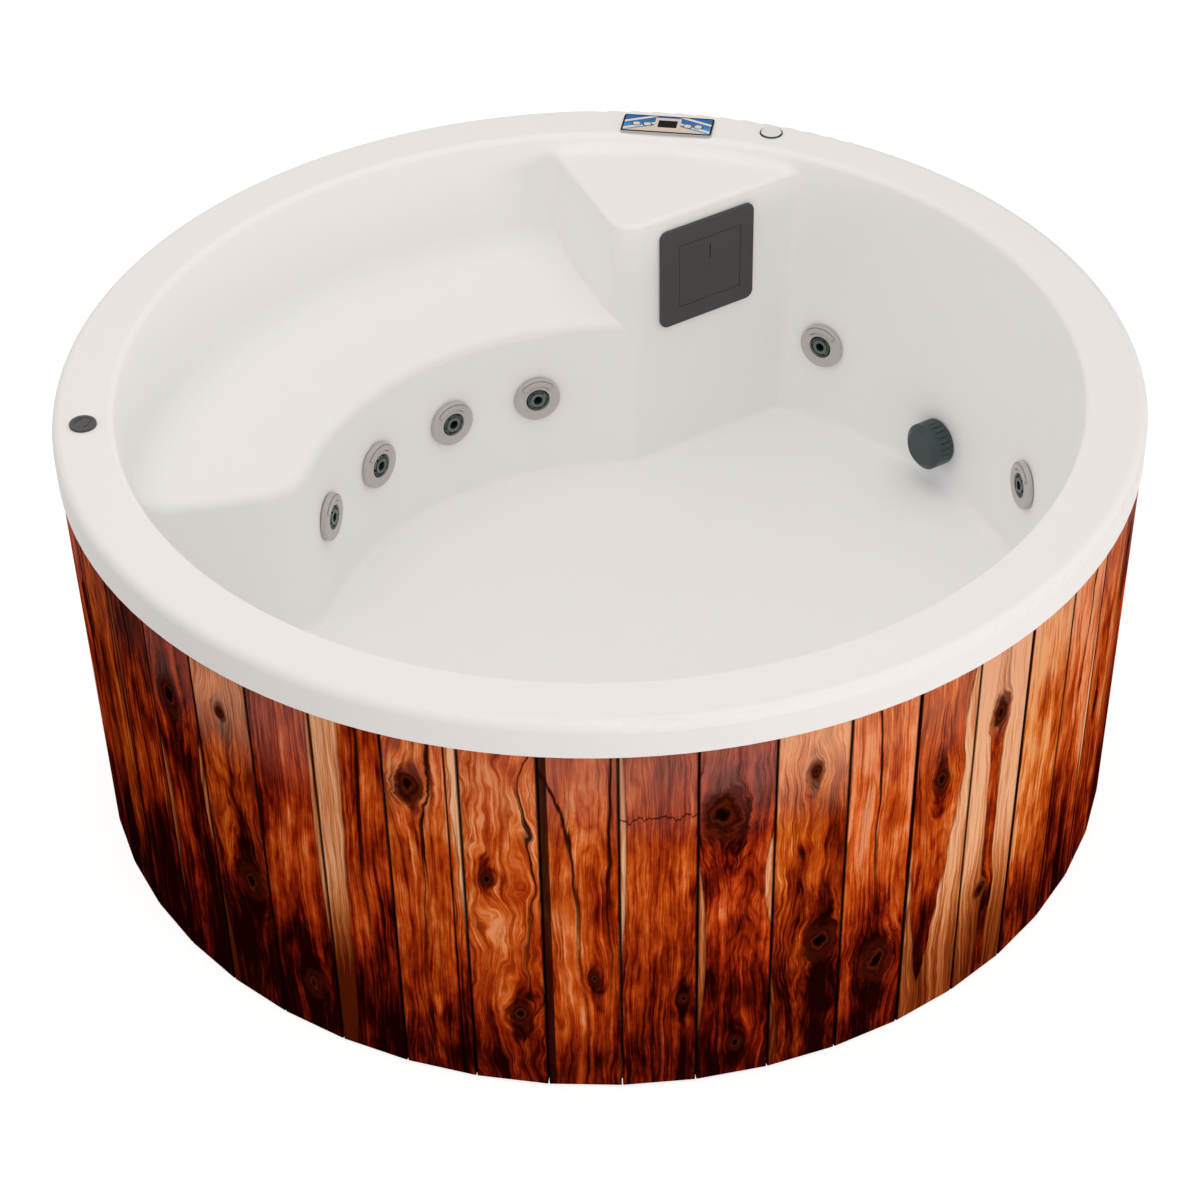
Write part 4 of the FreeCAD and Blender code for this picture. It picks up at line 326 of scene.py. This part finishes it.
# how deep a spot lies in the sapwood, whose edges follow the grain and are ragged like torn fibre
def findSapwood(tree, parts, edgeLine, ragged, s):
    across, down = parts["grain"][:2]
    left, right, lean = parts["sapwood"]
    slope = addNode(tree, "ShaderNodeMath", {0: lean, 1: down}, operation="MULTIPLY").outputs[0]
    left = addNode(tree, "ShaderNodeMath", {0: left, 1: slope}, operation="ADD").outputs[0]
    right = addNode(tree, "ShaderNodeMath", {0: right, 1: slope}, operation="SUBTRACT").outputs[0]
    leftDepth = addNode(tree, "ShaderNodeMath", {0: left, 1: edgeLine}, operation="SUBTRACT").outputs[0]
    rightDepth = addNode(tree, "ShaderNodeMath", {0: edgeLine, 1: right}, operation="SUBTRACT").outputs[0]
    depth = addNode(tree, "ShaderNodeMath", {0: leftDepth, 1: rightDepth}, operation="MAXIMUM").outputs[0]
    nearLine = addNode(tree, "ShaderNodeMath", {0: ragged, 1: s["sliverRagged"], 2: across},
                       operation="MULTIPLY_ADD").outputs[0]
    for name, side in (("sliverL", -1), ("sliverR", 1)):  # a sliver is a lens along the board's edge
        width, middle, half = parts[name]
        rise = addNode(tree, "ShaderNodeMath", {0: down, 1: middle}, operation="SUBTRACT").outputs[0]
        rise = addNode(tree, "ShaderNodeMath", {0: rise, 1: half}, operation="DIVIDE").outputs[0]
        rise = addNode(tree, "ShaderNodeMath", {0: rise, 1: 2}, operation="POWER").outputs[0]
        lens = addNode(tree, "ShaderNodeMath", {0: 1, 1: rise}, operation="SUBTRACT").outputs[0]
        reach = addNode(tree, "ShaderNodeMath", {0: lens, 1: width, 2: -s["halfWidth"]},
                        operation="MULTIPLY_ADD").outputs[0]
        inside = addNode(tree, "ShaderNodeMath", {0: nearLine, 1: side, 2: reach},
                         operation="MULTIPLY_ADD").outputs[0]
        depth = addNode(tree, "ShaderNodeMath", {0: depth, 1: inside}, operation="MAXIMUM").outputs[0]
    return depth


# shade of a dark line: full in its middle, gone at its edge
def darkLine(tree, place, line, size, fall="LINEAR"):
    off = addNode(tree, "ShaderNodeMath", {0: place, 1: line}, operation="SUBTRACT").outputs[0]
    off = addNode(tree, "ShaderNodeMath", {0: off}, operation="ABSOLUTE").outputs[0]
    return addNode(tree, "ShaderNodeMapRange", {"Value": off, "From Min": size[0], "From Max": size[1],
                                                "To Min": size[2], "To Max": 0.0}, interpolation_type=fall).outputs[0]


# the level of a wood's colour adds up the streaks and the looks of the board
def weighUp(tree, level, values, weights):
    for name, weight in weights.items():
        level = addNode(tree, "ShaderNodeMath", {0: values[name], 1: weight, 2: level},
                        operation="MULTIPLY_ADD").outputs[0]
    return level


# the strong veins of single boards, which bend towards their line at the foot and fade there
def strongVeins(tree, parts, edgeLine, darkness, s):
    down = parts["grain"][1]
    fade = addNode(tree, "ShaderNodeMapRange", {
        "Value": down, "From Min": s["veinFade"][0], "From Max": s["veinFade"][1], "To Min": 1.0,
        "To Max": s["veinFoot"]}).outputs[0]
    for name in ("veinA", "veinB"):
        atTop, atFoot, bend = parts[name]
        fall = addNode(tree, "ShaderNodeMath", {0: down, 1: bend}, operation="DIVIDE").outputs[0]
        fall = addNode(tree, "ShaderNodeMath", {0: fall, 1: -1}, operation="MULTIPLY").outputs[0]
        fall = addNode(tree, "ShaderNodeMath", {0: math.e, 1: fall}, operation="POWER").outputs[0]
        span = addNode(tree, "ShaderNodeMath", {0: atTop, 1: atFoot}, operation="SUBTRACT").outputs[0]
        path = addNode(tree, "ShaderNodeMath", {0: span, 1: fall, 2: atFoot}, operation="MULTIPLY_ADD").outputs[0]
        strong = darkLine(tree, edgeLine, path, s["strongVein"], "SMOOTHSTEP")
        strong = addNode(tree, "ShaderNodeMath", {0: strong, 1: fade}, operation="MULTIPLY").outputs[0]
        darkness = addNode(tree, "ShaderNodeMath", {0: darkness, 1: strong}, operation="MAXIMUM").outputs[0]
    return darkness


# the eased edges and the dark bands beside some joints are nearly black
def edgeShades(tree, parts, s):
    across, down = parts["grain"][:2]
    fromMiddle = addNode(tree, "ShaderNodeMath", {0: across}, operation="ABSOLUTE").outputs[0]
    reach = addNode(tree, "ShaderNodeMath", {0: down, 1: s["taper"], 2: fromMiddle},
                    operation="MULTIPLY_ADD").outputs[0]
    edge = addNode(tree, "ShaderNodeMapRange", {
        "Value": reach, "From Min": s["edgeStart"], "From Max": s["halfWidth"], "To Max": s["edgeShade"]}).outputs[0]
    fromLeft = addNode(tree, "ShaderNodeMath", {0: across, 1: s["leftSide"]}, operation="ADD").outputs[0]
    fromBand = addNode(tree, "ShaderNodeMath", {0: fromLeft, 1: parts["edge"][1]}, operation="SUBTRACT").outputs[0]
    band = addNode(tree, "ShaderNodeMapRange", {"Value": fromBand, "From Min": s["bandBlend"],
                                                "From Max": -s["bandBlend"], "To Max": s["bandShade"]}).outputs[0]
    return edge, band


def varnishedWood(s):
    material, tree, shader = newMaterial("varnished acacia", {"IOR": 1.5, "Specular IOR Level": 0.0})
    vectors, parts = {}, {}
    for name in ("grain", "tone", "figure", "edge", "sapwood", "sliverL", "sliverR", "veinA", "veinB",
                 "knotA", "knotB", "knotC"):
        vectors[name] = addNode(tree, "ShaderNodeAttribute", attribute_name=name).outputs["Vector"]
        parts[name] = addNode(tree, "ShaderNodeSeparateXYZ", {0: vectors[name]}).outputs
    across, down, number = parts["grain"]
    lightness, top, foot = parts["tone"]
    line, nearest, spindle = runGrain(tree, vectors, parts, s)
    values = drawStreaks(tree, line, down, number, s)
    # a board's lightness is its own tone together with painted light, lighter to the right and darker to the left
    values["lightness"] = lightness
    values["growth"] = drawGrowth(tree, values["arch"], nearest, s)

    # painted shade makes the foot darker and redder, and a painted sheen makes the top hand's breadth paler or purple
    ends = {}
    for name, share in (("foot", foot), ("top", top)):
        start, full = s[name + "Reach"]
        ends[name] = addNode(tree, "ShaderNodeMapRange", {"Value": down, "From Min": start, "From Max": full},
                             interpolation_type="SMOOTHSTEP").outputs[0]
        ends[name] = addNode(tree, "ShaderNodeMath", {0: ends[name], 1: share}, operation="MULTIPLY").outputs[0]
    values["foot"] = ends["foot"]
    values["topSheenLift"] = addNode(tree, "ShaderNodeMath", {0: ends["top"], 1: 0.0}, operation="MAXIMUM").outputs[0]
    # dark heartwood stretches along the grain above and below a knot
    wander = addNode(tree, "ShaderNodeMath", {0: values["blotch"], 1: s["tailRagged"], 2: spindle},
                     operation="MULTIPLY_ADD").outputs[0]
    values["tail"] = addNode(tree, "ShaderNodeMapRange", {
        "Value": wander, "From Min": s["tailReach"][0], "From Max": s["tailReach"][1]},
        interpolation_type="SMOOTHSTEP").outputs[0]
    level = weighUp(tree, s["heartLevel"], values, s["heartWeights"])
    heart = addNode(tree, "ShaderNodeValToRGB", {0: level}, stops=s["heart"]).outputs["Color"]
    # golden boards let more green through, red ones less
    green = addNode(tree, "ShaderNodeMath", {0: parts["figure"][0], 1: s["heartGreen"], 2: 1.0},
                    operation="MULTIPLY_ADD").outputs[0]
    tint = addNode(tree, "ShaderNodeCombineXYZ", {0: 1.0, 1: green, 2: 1.0}).outputs[0]
    heart = addNode(tree, "ShaderNodeVectorMath", {0: heart, 1: tint}, operation="MULTIPLY").outputs[0]

    ragged = addNode(tree, "ShaderNodeMath", {0: values["ring"], 1: 0.5}, operation="SUBTRACT").outputs[0]
    edgeLine = addNode(tree, "ShaderNodeMath", {0: ragged, 1: s["sapRagged"], 2: line},
                       operation="MULTIPLY_ADD").outputs[0]
    depth = findSapwood(tree, parts, edgeLine, ragged, s)
    isSap = addNode(tree, "ShaderNodeMapRange", {"Value": depth, "From Min": s["sapBlend"][0],
                                                 "From Max": s["sapBlend"][1]},
                    interpolation_type="SMOOTHSTEP").outputs[0]
    level = weighUp(tree, s["sapLevel"], values, s["sapWeights"])
    sap = addNode(tree, "ShaderNodeValToRGB", {0: level}, stops=s["sap"]).outputs["Color"]
    colour = addNode(tree, "ShaderNodeMix", {"Factor": isSap, "A": heart, "B": sap},
                     data_type="RGBA").outputs["Result"]

    # painted sheen: a pinkish tan top on some boards and a purple one on others, in threads along the grain
    thread = addNode(tree, "ShaderNodeMath", {0: values["fibre"], 1: s["topThread"], 2: values["ring"]},
                     operation="MULTIPLY_ADD").outputs[0]
    thread = addNode(tree, "ShaderNodeMapRange", {
        "Value": thread, "From Min": s["topBlend"][0], "From Max": s["topBlend"][1],
        "To Min": s["topShare"][0], "To Max": s["topShare"][1]}).outputs[0]
    paintedTopSheen = addNode(tree, "ShaderNodeMath", {0: ends["top"], 1: thread}, operation="MULTIPLY").outputs[0]
    for share, tone in s["topSheenTones"]:
        much = addNode(tree, "ShaderNodeMath", {0: paintedTopSheen, 1: share}, operation="MULTIPLY", use_clamp=True).outputs[0]
        colour = addNode(tree, "ShaderNodeMix", {"Factor": much, "A": colour, "B": toLinear(tone)},
                         data_type="RGBA").outputs["Result"]

    # dark veins: long soft ones in the heartwood, a rim along the sapwood, strong ones, and a halo round a knot
    notSap = addNode(tree, "ShaderNodeMath", {0: 1, 1: isSap}, operation="SUBTRACT").outputs[0]
    soft = darkLine(tree, values["vein"], 0.5, s["softVein"])
    for share in (notSap, values["patch"]):
        soft = addNode(tree, "ShaderNodeMath", {0: soft, 1: share}, operation="MULTIPLY").outputs[0]
    sapRim = darkLine(tree, depth, 0.0, s["sapRim"])
    darkness = addNode(tree, "ShaderNodeMath", {0: soft, 1: sapRim}, operation="MAXIMUM").outputs[0]
    darkness = strongVeins(tree, parts, edgeLine, darkness, s)
    around = addNode(tree, "ShaderNodeMath", {0: ragged, 1: s["haloRagged"], 2: nearest},
                     operation="MULTIPLY_ADD").outputs[0]
    halo = addNode(tree, "ShaderNodeMapRange", {
        "Value": around, "From Min": s["haloReach"][0], "From Max": s["haloReach"][1], "To Max": s["haloShade"]},
        interpolation_type="SMOOTHSTEP").outputs[0]
    halo = addNode(tree, "ShaderNodeMath", {0: halo, 1: notSap}, operation="MULTIPLY").outputs[0]
    darkness = addNode(tree, "ShaderNodeMath", {0: darkness, 1: halo}, operation="MAXIMUM").outputs[0]

    # a wavy crack across one board, and a seam along another
    at = addNode(tree, "ShaderNodeVectorMath", {0: vectors["grain"], 1: s["crackWaves"]},
                 operation="MULTIPLY").outputs[0]
    wave = addNode(tree, "ShaderNodeTexNoise", {"Vector": at, "Scale": 1, "Detail": 3}).outputs["Fac"]
    wave = addNode(tree, "ShaderNodeMath", {0: wave, 1: 0.5}, operation="SUBTRACT").outputs[0]
    crackLine = addNode(tree, "ShaderNodeMath", {0: wave, 1: s["crackSwing"], 2: parts["figure"][2]},
                        operation="MULTIPLY_ADD").outputs[0]
    shades = {"vein": darkness, "crack": darkLine(tree, down, crackLine, s["crack"])}
    shades["edge"], shades["band"] = edgeShades(tree, parts, s)
    shades["seam"] = darkLine(tree, across, parts["edge"][0], s["seam"])
    for name, tone in s["tones"].items():
        colour = addNode(tree, "ShaderNodeMix", {"Factor": shades[name], "A": colour, "B": toLinear(tone)},
                         data_type="RGBA").outputs["Result"]

    # knots: a near-black eye with one lighter ring
    core = addNode(tree, "ShaderNodeMapRange", {"Value": nearest, "From Min": s["knotBlend"][0],
                                                "From Max": s["knotBlend"][1]},
                   interpolation_type="SMOOTHSTEP").outputs[0]
    coreColour = addNode(tree, "ShaderNodeValToRGB", {0: nearest}, stops=s["knot"]).outputs["Color"]
    colour = addNode(tree, "ShaderNodeMix", {"Factor": core, "A": colour, "B": coreColour},
                     data_type="RGBA").outputs["Result"]
    tree.links.new(colour, shader.inputs["Base Color"])
    rough = addNode(tree, "ShaderNodeMapRange", {"Value": values["fibre"], "To Min": s["roughness"][0],
                                                 "To Max": s["roughness"][1]}).outputs[0]
    tree.links.new(rough, shader.inputs["Roughness"])
    height = addNode(tree, "ShaderNodeMath", {0: darkness, 1: s["veinDepth"], 2: values["fibre"]},
                     operation="MULTIPLY_ADD").outputs[0]
    bump = addNode(tree, "ShaderNodeBump", {"Height": height, "Strength": s["bump"],
                                            "Distance": s["bumpDepth"]}).outputs[0]
    tree.links.new(bump, shader.inputs["Normal"])
    return material


wood = varnishedWood(acacia)
dice = random.Random(skirt["seed"])
template = modelBoard(skirt)
boards = [setBoard(template, index, skirt, dice) for index in range(skirt["count"])]
bpy.data.objects.remove(template)
for board in boards:
    dress(board, wood)
print("skirt set,", len(boards), "boards")


# Moulded and painted finishes of the CAD pieces: a faint cloud in the colour, and a grain given in mm

moulding = {"cloudScale": 14, "roughSpread": 0.04, "bump": 0.12, "bumpDepth": 0.0003, "ior": 1.49}


def mouldedPlastic(name, colour, roughness, grainMm, mottle=0.06, sockets=None):
    s = moulding
    material, tree, shader = newMaterial(name, {"IOR": s["ior"], **(sockets or {})})
    place = addNode(tree, "ShaderNodeTexCoord").outputs["Object"]
    cloud = addNode(tree, "ShaderNodeTexNoise", {"Vector": place, "Scale": s["cloudScale"],
                                                 "Detail": 3}).outputs["Fac"]
    speck = addNode(tree, "ShaderNodeTexNoise", {"Vector": place, "Scale": 1000 / grainMm,
                                                 "Detail": 2}).outputs["Fac"]
    base = toLinear(colour)
    low = tuple(c * (1 - mottle) for c in base[:3]) + (1,)
    high = tuple(min(1, c * (1 + mottle)) for c in base[:3]) + (1,)
    tint = addNode(tree, "ShaderNodeMix", {"Factor": cloud, "A": low, "B": high}, data_type="RGBA").outputs["Result"]
    tree.links.new(tint, shader.inputs["Base Color"])
    rough = addNode(tree, "ShaderNodeMapRange", {"Value": cloud, "To Min": roughness - s["roughSpread"],
                                                 "To Max": roughness + s["roughSpread"]}).outputs[0]
    tree.links.new(rough, shader.inputs["Roughness"])
    bump = addNode(tree, "ShaderNodeBump", {"Height": speck, "Strength": s["bump"],
                                            "Distance": s["bumpDepth"]}).outputs[0]
    tree.links.new(bump, shader.inputs["Normal"])
    return material


# grooves and steps of a moulding gather shade, so that its edges read from a step away
creases = {"reach": 0.005, "shut": 0.45, "open": 0.95, "tone": "#2b2826", "samples": 8}


def darkCreases(material, s):
    tree = material.node_tree
    base = tree.nodes["Principled BSDF"].inputs["Base Color"]
    openness = addNode(tree, "ShaderNodeAmbientOcclusion", {"Distance": s["reach"]}, samples=s["samples"],
                       only_local=True).outputs["AO"]
    share = addNode(tree, "ShaderNodeMapRange", {"Value": openness, "From Min": s["shut"],
                                                 "From Max": s["open"]}).outputs[0]
    colour = addNode(tree, "ShaderNodeMix", {"Factor": share, "A": toLinear(s["tone"]),
                                             "B": base.links[0].from_socket}, data_type="RGBA").outputs["Result"]
    tree.links.new(colour, base)


# Control panel: the middle of its top on the rim and the directions along and out of the rim, sizes in metres
panel = {
    "seat": (0.12956, 0.77424, 0.72), "along": (0.98629, -0.16505, 0), "outward": (0.16505, 0.98629, 0),
    "frameFoot": 0.7243, "frameBlend": 0.0003, "frameSide": "#b9b4b1",
    "window": (0.0168, 0.0125), "windowCorner": 0.002, "windowBlend": 0.0004, "windowRough": (0.15, 0.5),
    "windowTone": "#0b0c0c", "surroundTone": "#e6d8ca",
    "bandSlant": 0.42, "bandPitch": 0.0125, "bandEdge": (0.0088, 0.0094), "bandTone": "#ece6df",
    "filmReach": (-0.026, 0.026), "lowEdge": (0.0045, 0.0040), "lowTone": "#e3d3c2",
    "film": ((0.0, "#7db9dc"), (0.35, "#2f8fcd"), (0.6, "#0f72bd"), (1.0, "#0c5fa8")),
    "keyAcross": (0.055, 0.036), "keyMiddle": -0.003, "keySquash": (0.78, 1, 1), "keyEdge": (0.0074, 0.0070),
    "keyTone": "#4a4440",
}


def panelPlace(tree, s):
    place = addNode(tree, "ShaderNodeTexCoord").outputs["Object"]
    off = addNode(tree, "ShaderNodeVectorMath", {0: place, 1: s["seat"]}, operation="SUBTRACT").outputs[0]
    return [addNode(tree, "ShaderNodeVectorMath", {0: off, 1: s[way]}, operation="DOT_PRODUCT").outputs["Value"]
            for way in ("along", "outward")]


# black bezel whose sides show the pale grey of the moulding below the lacquer
def panelBezel(s):
    material = mouldedPlastic("lacquered panel bezel", "#101011", 0.4, 0.8, 0.05, {"Specular IOR Level": 0.04})
    tree = material.node_tree
    base = tree.nodes["Principled BSDF"].inputs["Base Color"]
    place = addNode(tree, "ShaderNodeTexCoord").outputs["Object"]
    height = addNode(tree, "ShaderNodeSeparateXYZ", {0: place}).outputs[2]
    isTop = addNode(tree, "ShaderNodeMapRange", {"Value": height, "From Min": s["frameFoot"],
                                                 "From Max": s["frameFoot"] + s["frameBlend"]}).outputs[0]
    colour = addNode(tree, "ShaderNodeMix", {"Factor": isTop, "A": toLinear(s["frameSide"]),
                                             "B": base.links[0].from_socket}, data_type="RGBA").outputs["Result"]
    tree.links.new(colour, base)
    return material


# printed film: blue, with straight slanted pale bands that thin out towards the display, and a ring round each key
def panelFilm(s):
    material, tree, shader = newMaterial("printed panel film", {"Roughness": 0.4, "Specular IOR Level": 0.15})
    across, out = panelPlace(tree, s)
    side = addNode(tree, "ShaderNodeMath", {0: across}, operation="ABSOLUTE").outputs[0]
    slant = addNode(tree, "ShaderNodeMath", {0: side, 1: s["bandSlant"], 2: out}, operation="MULTIPLY_ADD").outputs[0]
    stripe = addNode(tree, "ShaderNodeMath", {0: slant, 1: s["bandPitch"]}, operation="PINGPONG").outputs[0]
    shade = addNode(tree, "ShaderNodeMapRange", {"Value": out, "From Min": s["filmReach"][0],
                                                 "From Max": s["filmReach"][1]}).outputs[0]
    colour = addNode(tree, "ShaderNodeValToRGB", {0: shade}, stops=s["film"]).outputs["Color"]
    prints = [(stripe, "band"), (slant, "low")]
    up = addNode(tree, "ShaderNodeMath", {0: out, 1: s["keyMiddle"]}, operation="SUBTRACT").outputs[0]
    for keyAcross in s["keyAcross"]:
        off = addNode(tree, "ShaderNodeMath", {0: side, 1: keyAcross}, operation="SUBTRACT").outputs[0]
        spot = addNode(tree, "ShaderNodeCombineXYZ", {0: off, 1: up}).outputs[0]
        far = addNode(tree, "ShaderNodeVectorMath", {0: spot, 1: s["keySquash"]}, operation="MULTIPLY").outputs[0]
        far = addNode(tree, "ShaderNodeVectorMath", {0: far}, operation="LENGTH").outputs["Value"]
        prints.append((far, "key"))
    for place, name in prints:  # each later print covers the ones before it
        start, full = s[name + "Edge"]
        share = addNode(tree, "ShaderNodeMapRange", {"Value": place, "From Min": start, "From Max": full}).outputs[0]
        colour = addNode(tree, "ShaderNodeMix", {"Factor": share, "A": colour, "B": toLinear(s[name + "Tone"])},
                         data_type="RGBA").outputs["Result"]
    tree.links.new(colour, shader.inputs["Base Color"])
    return material


# display: a cream surround printed round a glossy black window
def panelWindow(s):
    material, tree, shader = newMaterial("panel window acrylic", {"Specular IOR Level": 0.03})
    offs = []
    for place, half in zip(panelPlace(tree, s), s["window"]):
        off = addNode(tree, "ShaderNodeMath", {0: place}, operation="ABSOLUTE").outputs[0]
        offs.append(addNode(tree, "ShaderNodeMath", {0: off, 1: half}, operation="SUBTRACT").outputs[0])
    outside = addNode(tree, "ShaderNodeMath", {0: offs[0], 1: offs[1], 2: s["windowCorner"]},
                      operation="SMOOTH_MAX").outputs[0]
    isFrame = addNode(tree, "ShaderNodeMapRange", {"Value": outside, "From Max": s["windowBlend"]}).outputs[0]
    colour = addNode(tree, "ShaderNodeMix", {"Factor": isFrame, "A": toLinear(s["windowTone"]),
                                             "B": toLinear(s["surroundTone"])}, data_type="RGBA").outputs["Result"]
    tree.links.new(colour, shader.inputs["Base Color"])
    rough = addNode(tree, "ShaderNodeMapRange", {"Value": isFrame, "To Min": s["windowRough"][0],
                                                 "To Max": s["windowRough"][1]}).outputs[0]
    tree.links.new(rough, shader.inputs["Roughness"])
    return material


# name, colour, roughness, grain in mm, mottle and other sockets of the finishes that need no print;
# grain is drawn coarser than the real one where that is too fine to show
matt = {"Specular IOR Level": 0.3}
metal = {"Metallic": 1.0, "IOR": 1.5}
plainFinishes = {
    # sprayed in a mould and buffed: an even white with a soft sheen and no hard glints
    "white_gelcoat": ("white gelcoat", "#fafafa", 0.5, 6, 0.008, {"Specular IOR Level": 0.12}),
    # softwood straight from the planer: pale tan, dry and cloudy
    "frame_timber": ("planed pine", "#c9a878", 0.6, 3, 0.15),
    # moulded plastics and rubber: dark, with a fine grain that keeps them dull
    "base_plastic": ("black base polyethylene", "#1d1c1b", 0.6, 1.5),
    "black_nylon": ("black nylon", "#171717", 0.5, 1.2),
    "pump_plastic": ("pump casing plastic", "#1c1c1c", 0.5, 1.2),
    "seal_rubber": ("seal rubber", "#1b1b1b", 0.75, 1),
    # extruded pipe: slightly warm white with a low sheen
    "white_pvc": ("white pipe pvc", "#dedcd6", 0.4, 2),
    # injection-moulded abs: greys with a fine spark-eroded grain, so that light spreads softly
    "slate_abs": ("slate abs", "#3d494b", 0.4, 1.0, 0.08, matt),
    "graphite_abs": ("graphite abs", "#474745", 0.5, 0.9, 0.06, matt),
    "knob_grey": ("grey knob abs", "#504e4c", 0.45, 0.9, 0.06, matt),
    "jet_ring_grey": ("grey jet ring abs", "#c2bdbb", 0.4, 1.2, 0.04, matt),
    # polished moulds: smoother and paler, with a broad highlight
    "button_white": ("white button abs", "#eeecea", 0.35, 2, 0.02, matt),
    "key_cream": ("cream key silicone", "#e9dccb", 0.5, 1, 0.05, matt),
    # pressed fibre: flat, pale and without any gloss
    "filter_paper": ("pleated filter paper", "#dfe3e6", 0.85, 1.5),
    # ground, brushed and plated metals: they mirror the white studio, more or less blurred
    "pin_steel": ("ground pin steel", "#b5b5b3", 0.3, 0.6, 0.05, metal),
    "heater_steel": ("brushed heater steel", "#b9b8b4", 0.3, 0.7, 0.08, metal),
    "button_ring": ("dark chromed ring", "#3d3e42", 0.25, 2, 0.05, metal),
    "jet_nozzle_dark": ("metallised nozzle abs", "#66736f", 0.28, 1.0, 0.1, {**metal, "Metallic": 0.85}),
    # enamel sprayed on a casting: dark blue-grey with a slight sheen
    "motor_paint": ("motor paint", "#2a3340", 0.4, 1.5),
}
finishes = {slotName: mouldedPlastic(*row) for slotName, row in plainFinishes.items()}
darkCreases(finishes["jet_ring_grey"], creases)
finishes.update({"panel_black": panelBezel(panel), "panel_print": panelFilm(panel),
                 "panel_window": panelWindow(panel), "varnished_wood": wood})

for name, piece in nodes.items():
    for place in piece.material_slots:
        slotName = place.material.name.split(".")[0]
        if slotName in finishes:
            place.material = finishes[slotName]
        else:
            print("no finish for", name, slotName)
print("CAD pieces finished")


# Floor, light and camera

studio = {"floorSize": 30, "floorHeight": -0.0005, "floorLit": "#e6e6e6", "floorSeen": "#b8b8b8", "floorGlow": 0.8,
          "lightColour": "#fffaf6", "worldStrength": 0.62, "lampAim": (0, 0, 0.4)}
bpy.ops.object.select_all(action="DESELECT")
bpy.ops.mesh.primitive_plane_add(size=studio["floorSize"], location=(0, 0, studio["floorHeight"]))
floor = bpy.context.active_object
floor.name = "studio_floor"
floorMaterial, tree, shader = newMaterial("matt white floor", {"Roughness": 0.9, "Specular IOR Level": 0.0})
shader.inputs["Emission Color"].default_value = (1, 1, 1, 1)
dress(floor, floorMaterial)

world = bpy.data.worlds.new("studio light")
bpy.context.scene.world = world
world.use_nodes = True
sky = world.node_tree
background = sky.nodes["Background"]

# what the camera, mirrors and clear pieces see is white, and the light itself is softer and a little warm
shown = {}
for where in (tree, sky):
    rays = addNode(where, "ShaderNodeLightPath").outputs
    seen = addNode(where, "ShaderNodeMath", {0: rays["Is Camera Ray"], 1: rays["Is Glossy Ray"]},
                   operation="MAXIMUM").outputs[0]
    shown[where] = addNode(where, "ShaderNodeMath", {0: seen, 1: rays["Is Transmission Ray"]},
                           operation="MAXIMUM").outputs[0]
glow = addNode(tree, "ShaderNodeMath", {0: shown[tree], 1: studio["floorGlow"]}, operation="MULTIPLY").outputs[0]
tree.links.new(glow, shader.inputs["Emission Strength"])
paint = addNode(tree, "ShaderNodeMix", {"Factor": shown[tree], "A": toLinear(studio["floorLit"]),
                                        "B": toLinear(studio["floorSeen"])}, data_type="RGBA").outputs["Result"]
tree.links.new(paint, shader.inputs["Base Color"])
strength = addNode(sky, "ShaderNodeMapRange", {"Value": shown[sky], "To Min": studio["worldStrength"],
                                               "To Max": 1.0}).outputs[0]
sky.links.new(strength, background.inputs["Strength"])
glowColour = addNode(sky, "ShaderNodeMix", {"Factor": shown[sky], "A": toLinear(studio["lightColour"]),
                                            "B": (1, 1, 1, 1)}, data_type="RGBA").outputs["Result"]
sky.links.new(glowColour, background.inputs["Color"])

lamps = {
    "overhead": {"place": (-0.1, -0.2, 2.5), "size": 2.6, "power": 13.5},
    "side": {"place": (5.2, -6.1, 0.85), "size": 1.7, "power": 152},
}
for name, lamp in lamps.items():
    bpy.ops.object.light_add(type="AREA", location=lamp["place"])
    light = bpy.context.active_object
    light.name = name + "_light"
    light.data.size = lamp["size"]
    light.data.energy = lamp["power"]
    light.data.color = toLinear(studio["lightColour"])[:3]
    aim = Vector(studio["lampAim"]) - Vector(lamp["place"])
    light.rotation_euler = aim.to_track_quat("-Z", "Y").to_euler()

view = {"place": (0, -3.7762, 3.2381), "target": (0, 0, 0.2574), "lens": 86.754, "sensor": 36, "rollDeg": -1.04,
        "shift": (-0.00273, 0.00257)}
bpy.ops.object.camera_add(location=view["place"])
camera = bpy.context.active_object
aim = (Vector(view["target"]) - Vector(view["place"])).to_track_quat("-Z", "Y").to_matrix().to_4x4()
roll = Matrix.Rotation(math.radians(view["rollDeg"]), 4, "Z")
camera.matrix_world = Matrix.Translation(view["place"]) @ aim @ roll
camera.data.lens = view["lens"]
camera.data.sensor_width = view["sensor"]
camera.data.shift_x, camera.data.shift_y = view["shift"]
bpy.context.scene.camera = camera
bpy.context.scene.view_settings.view_transform = "Standard"
print("studio ready")
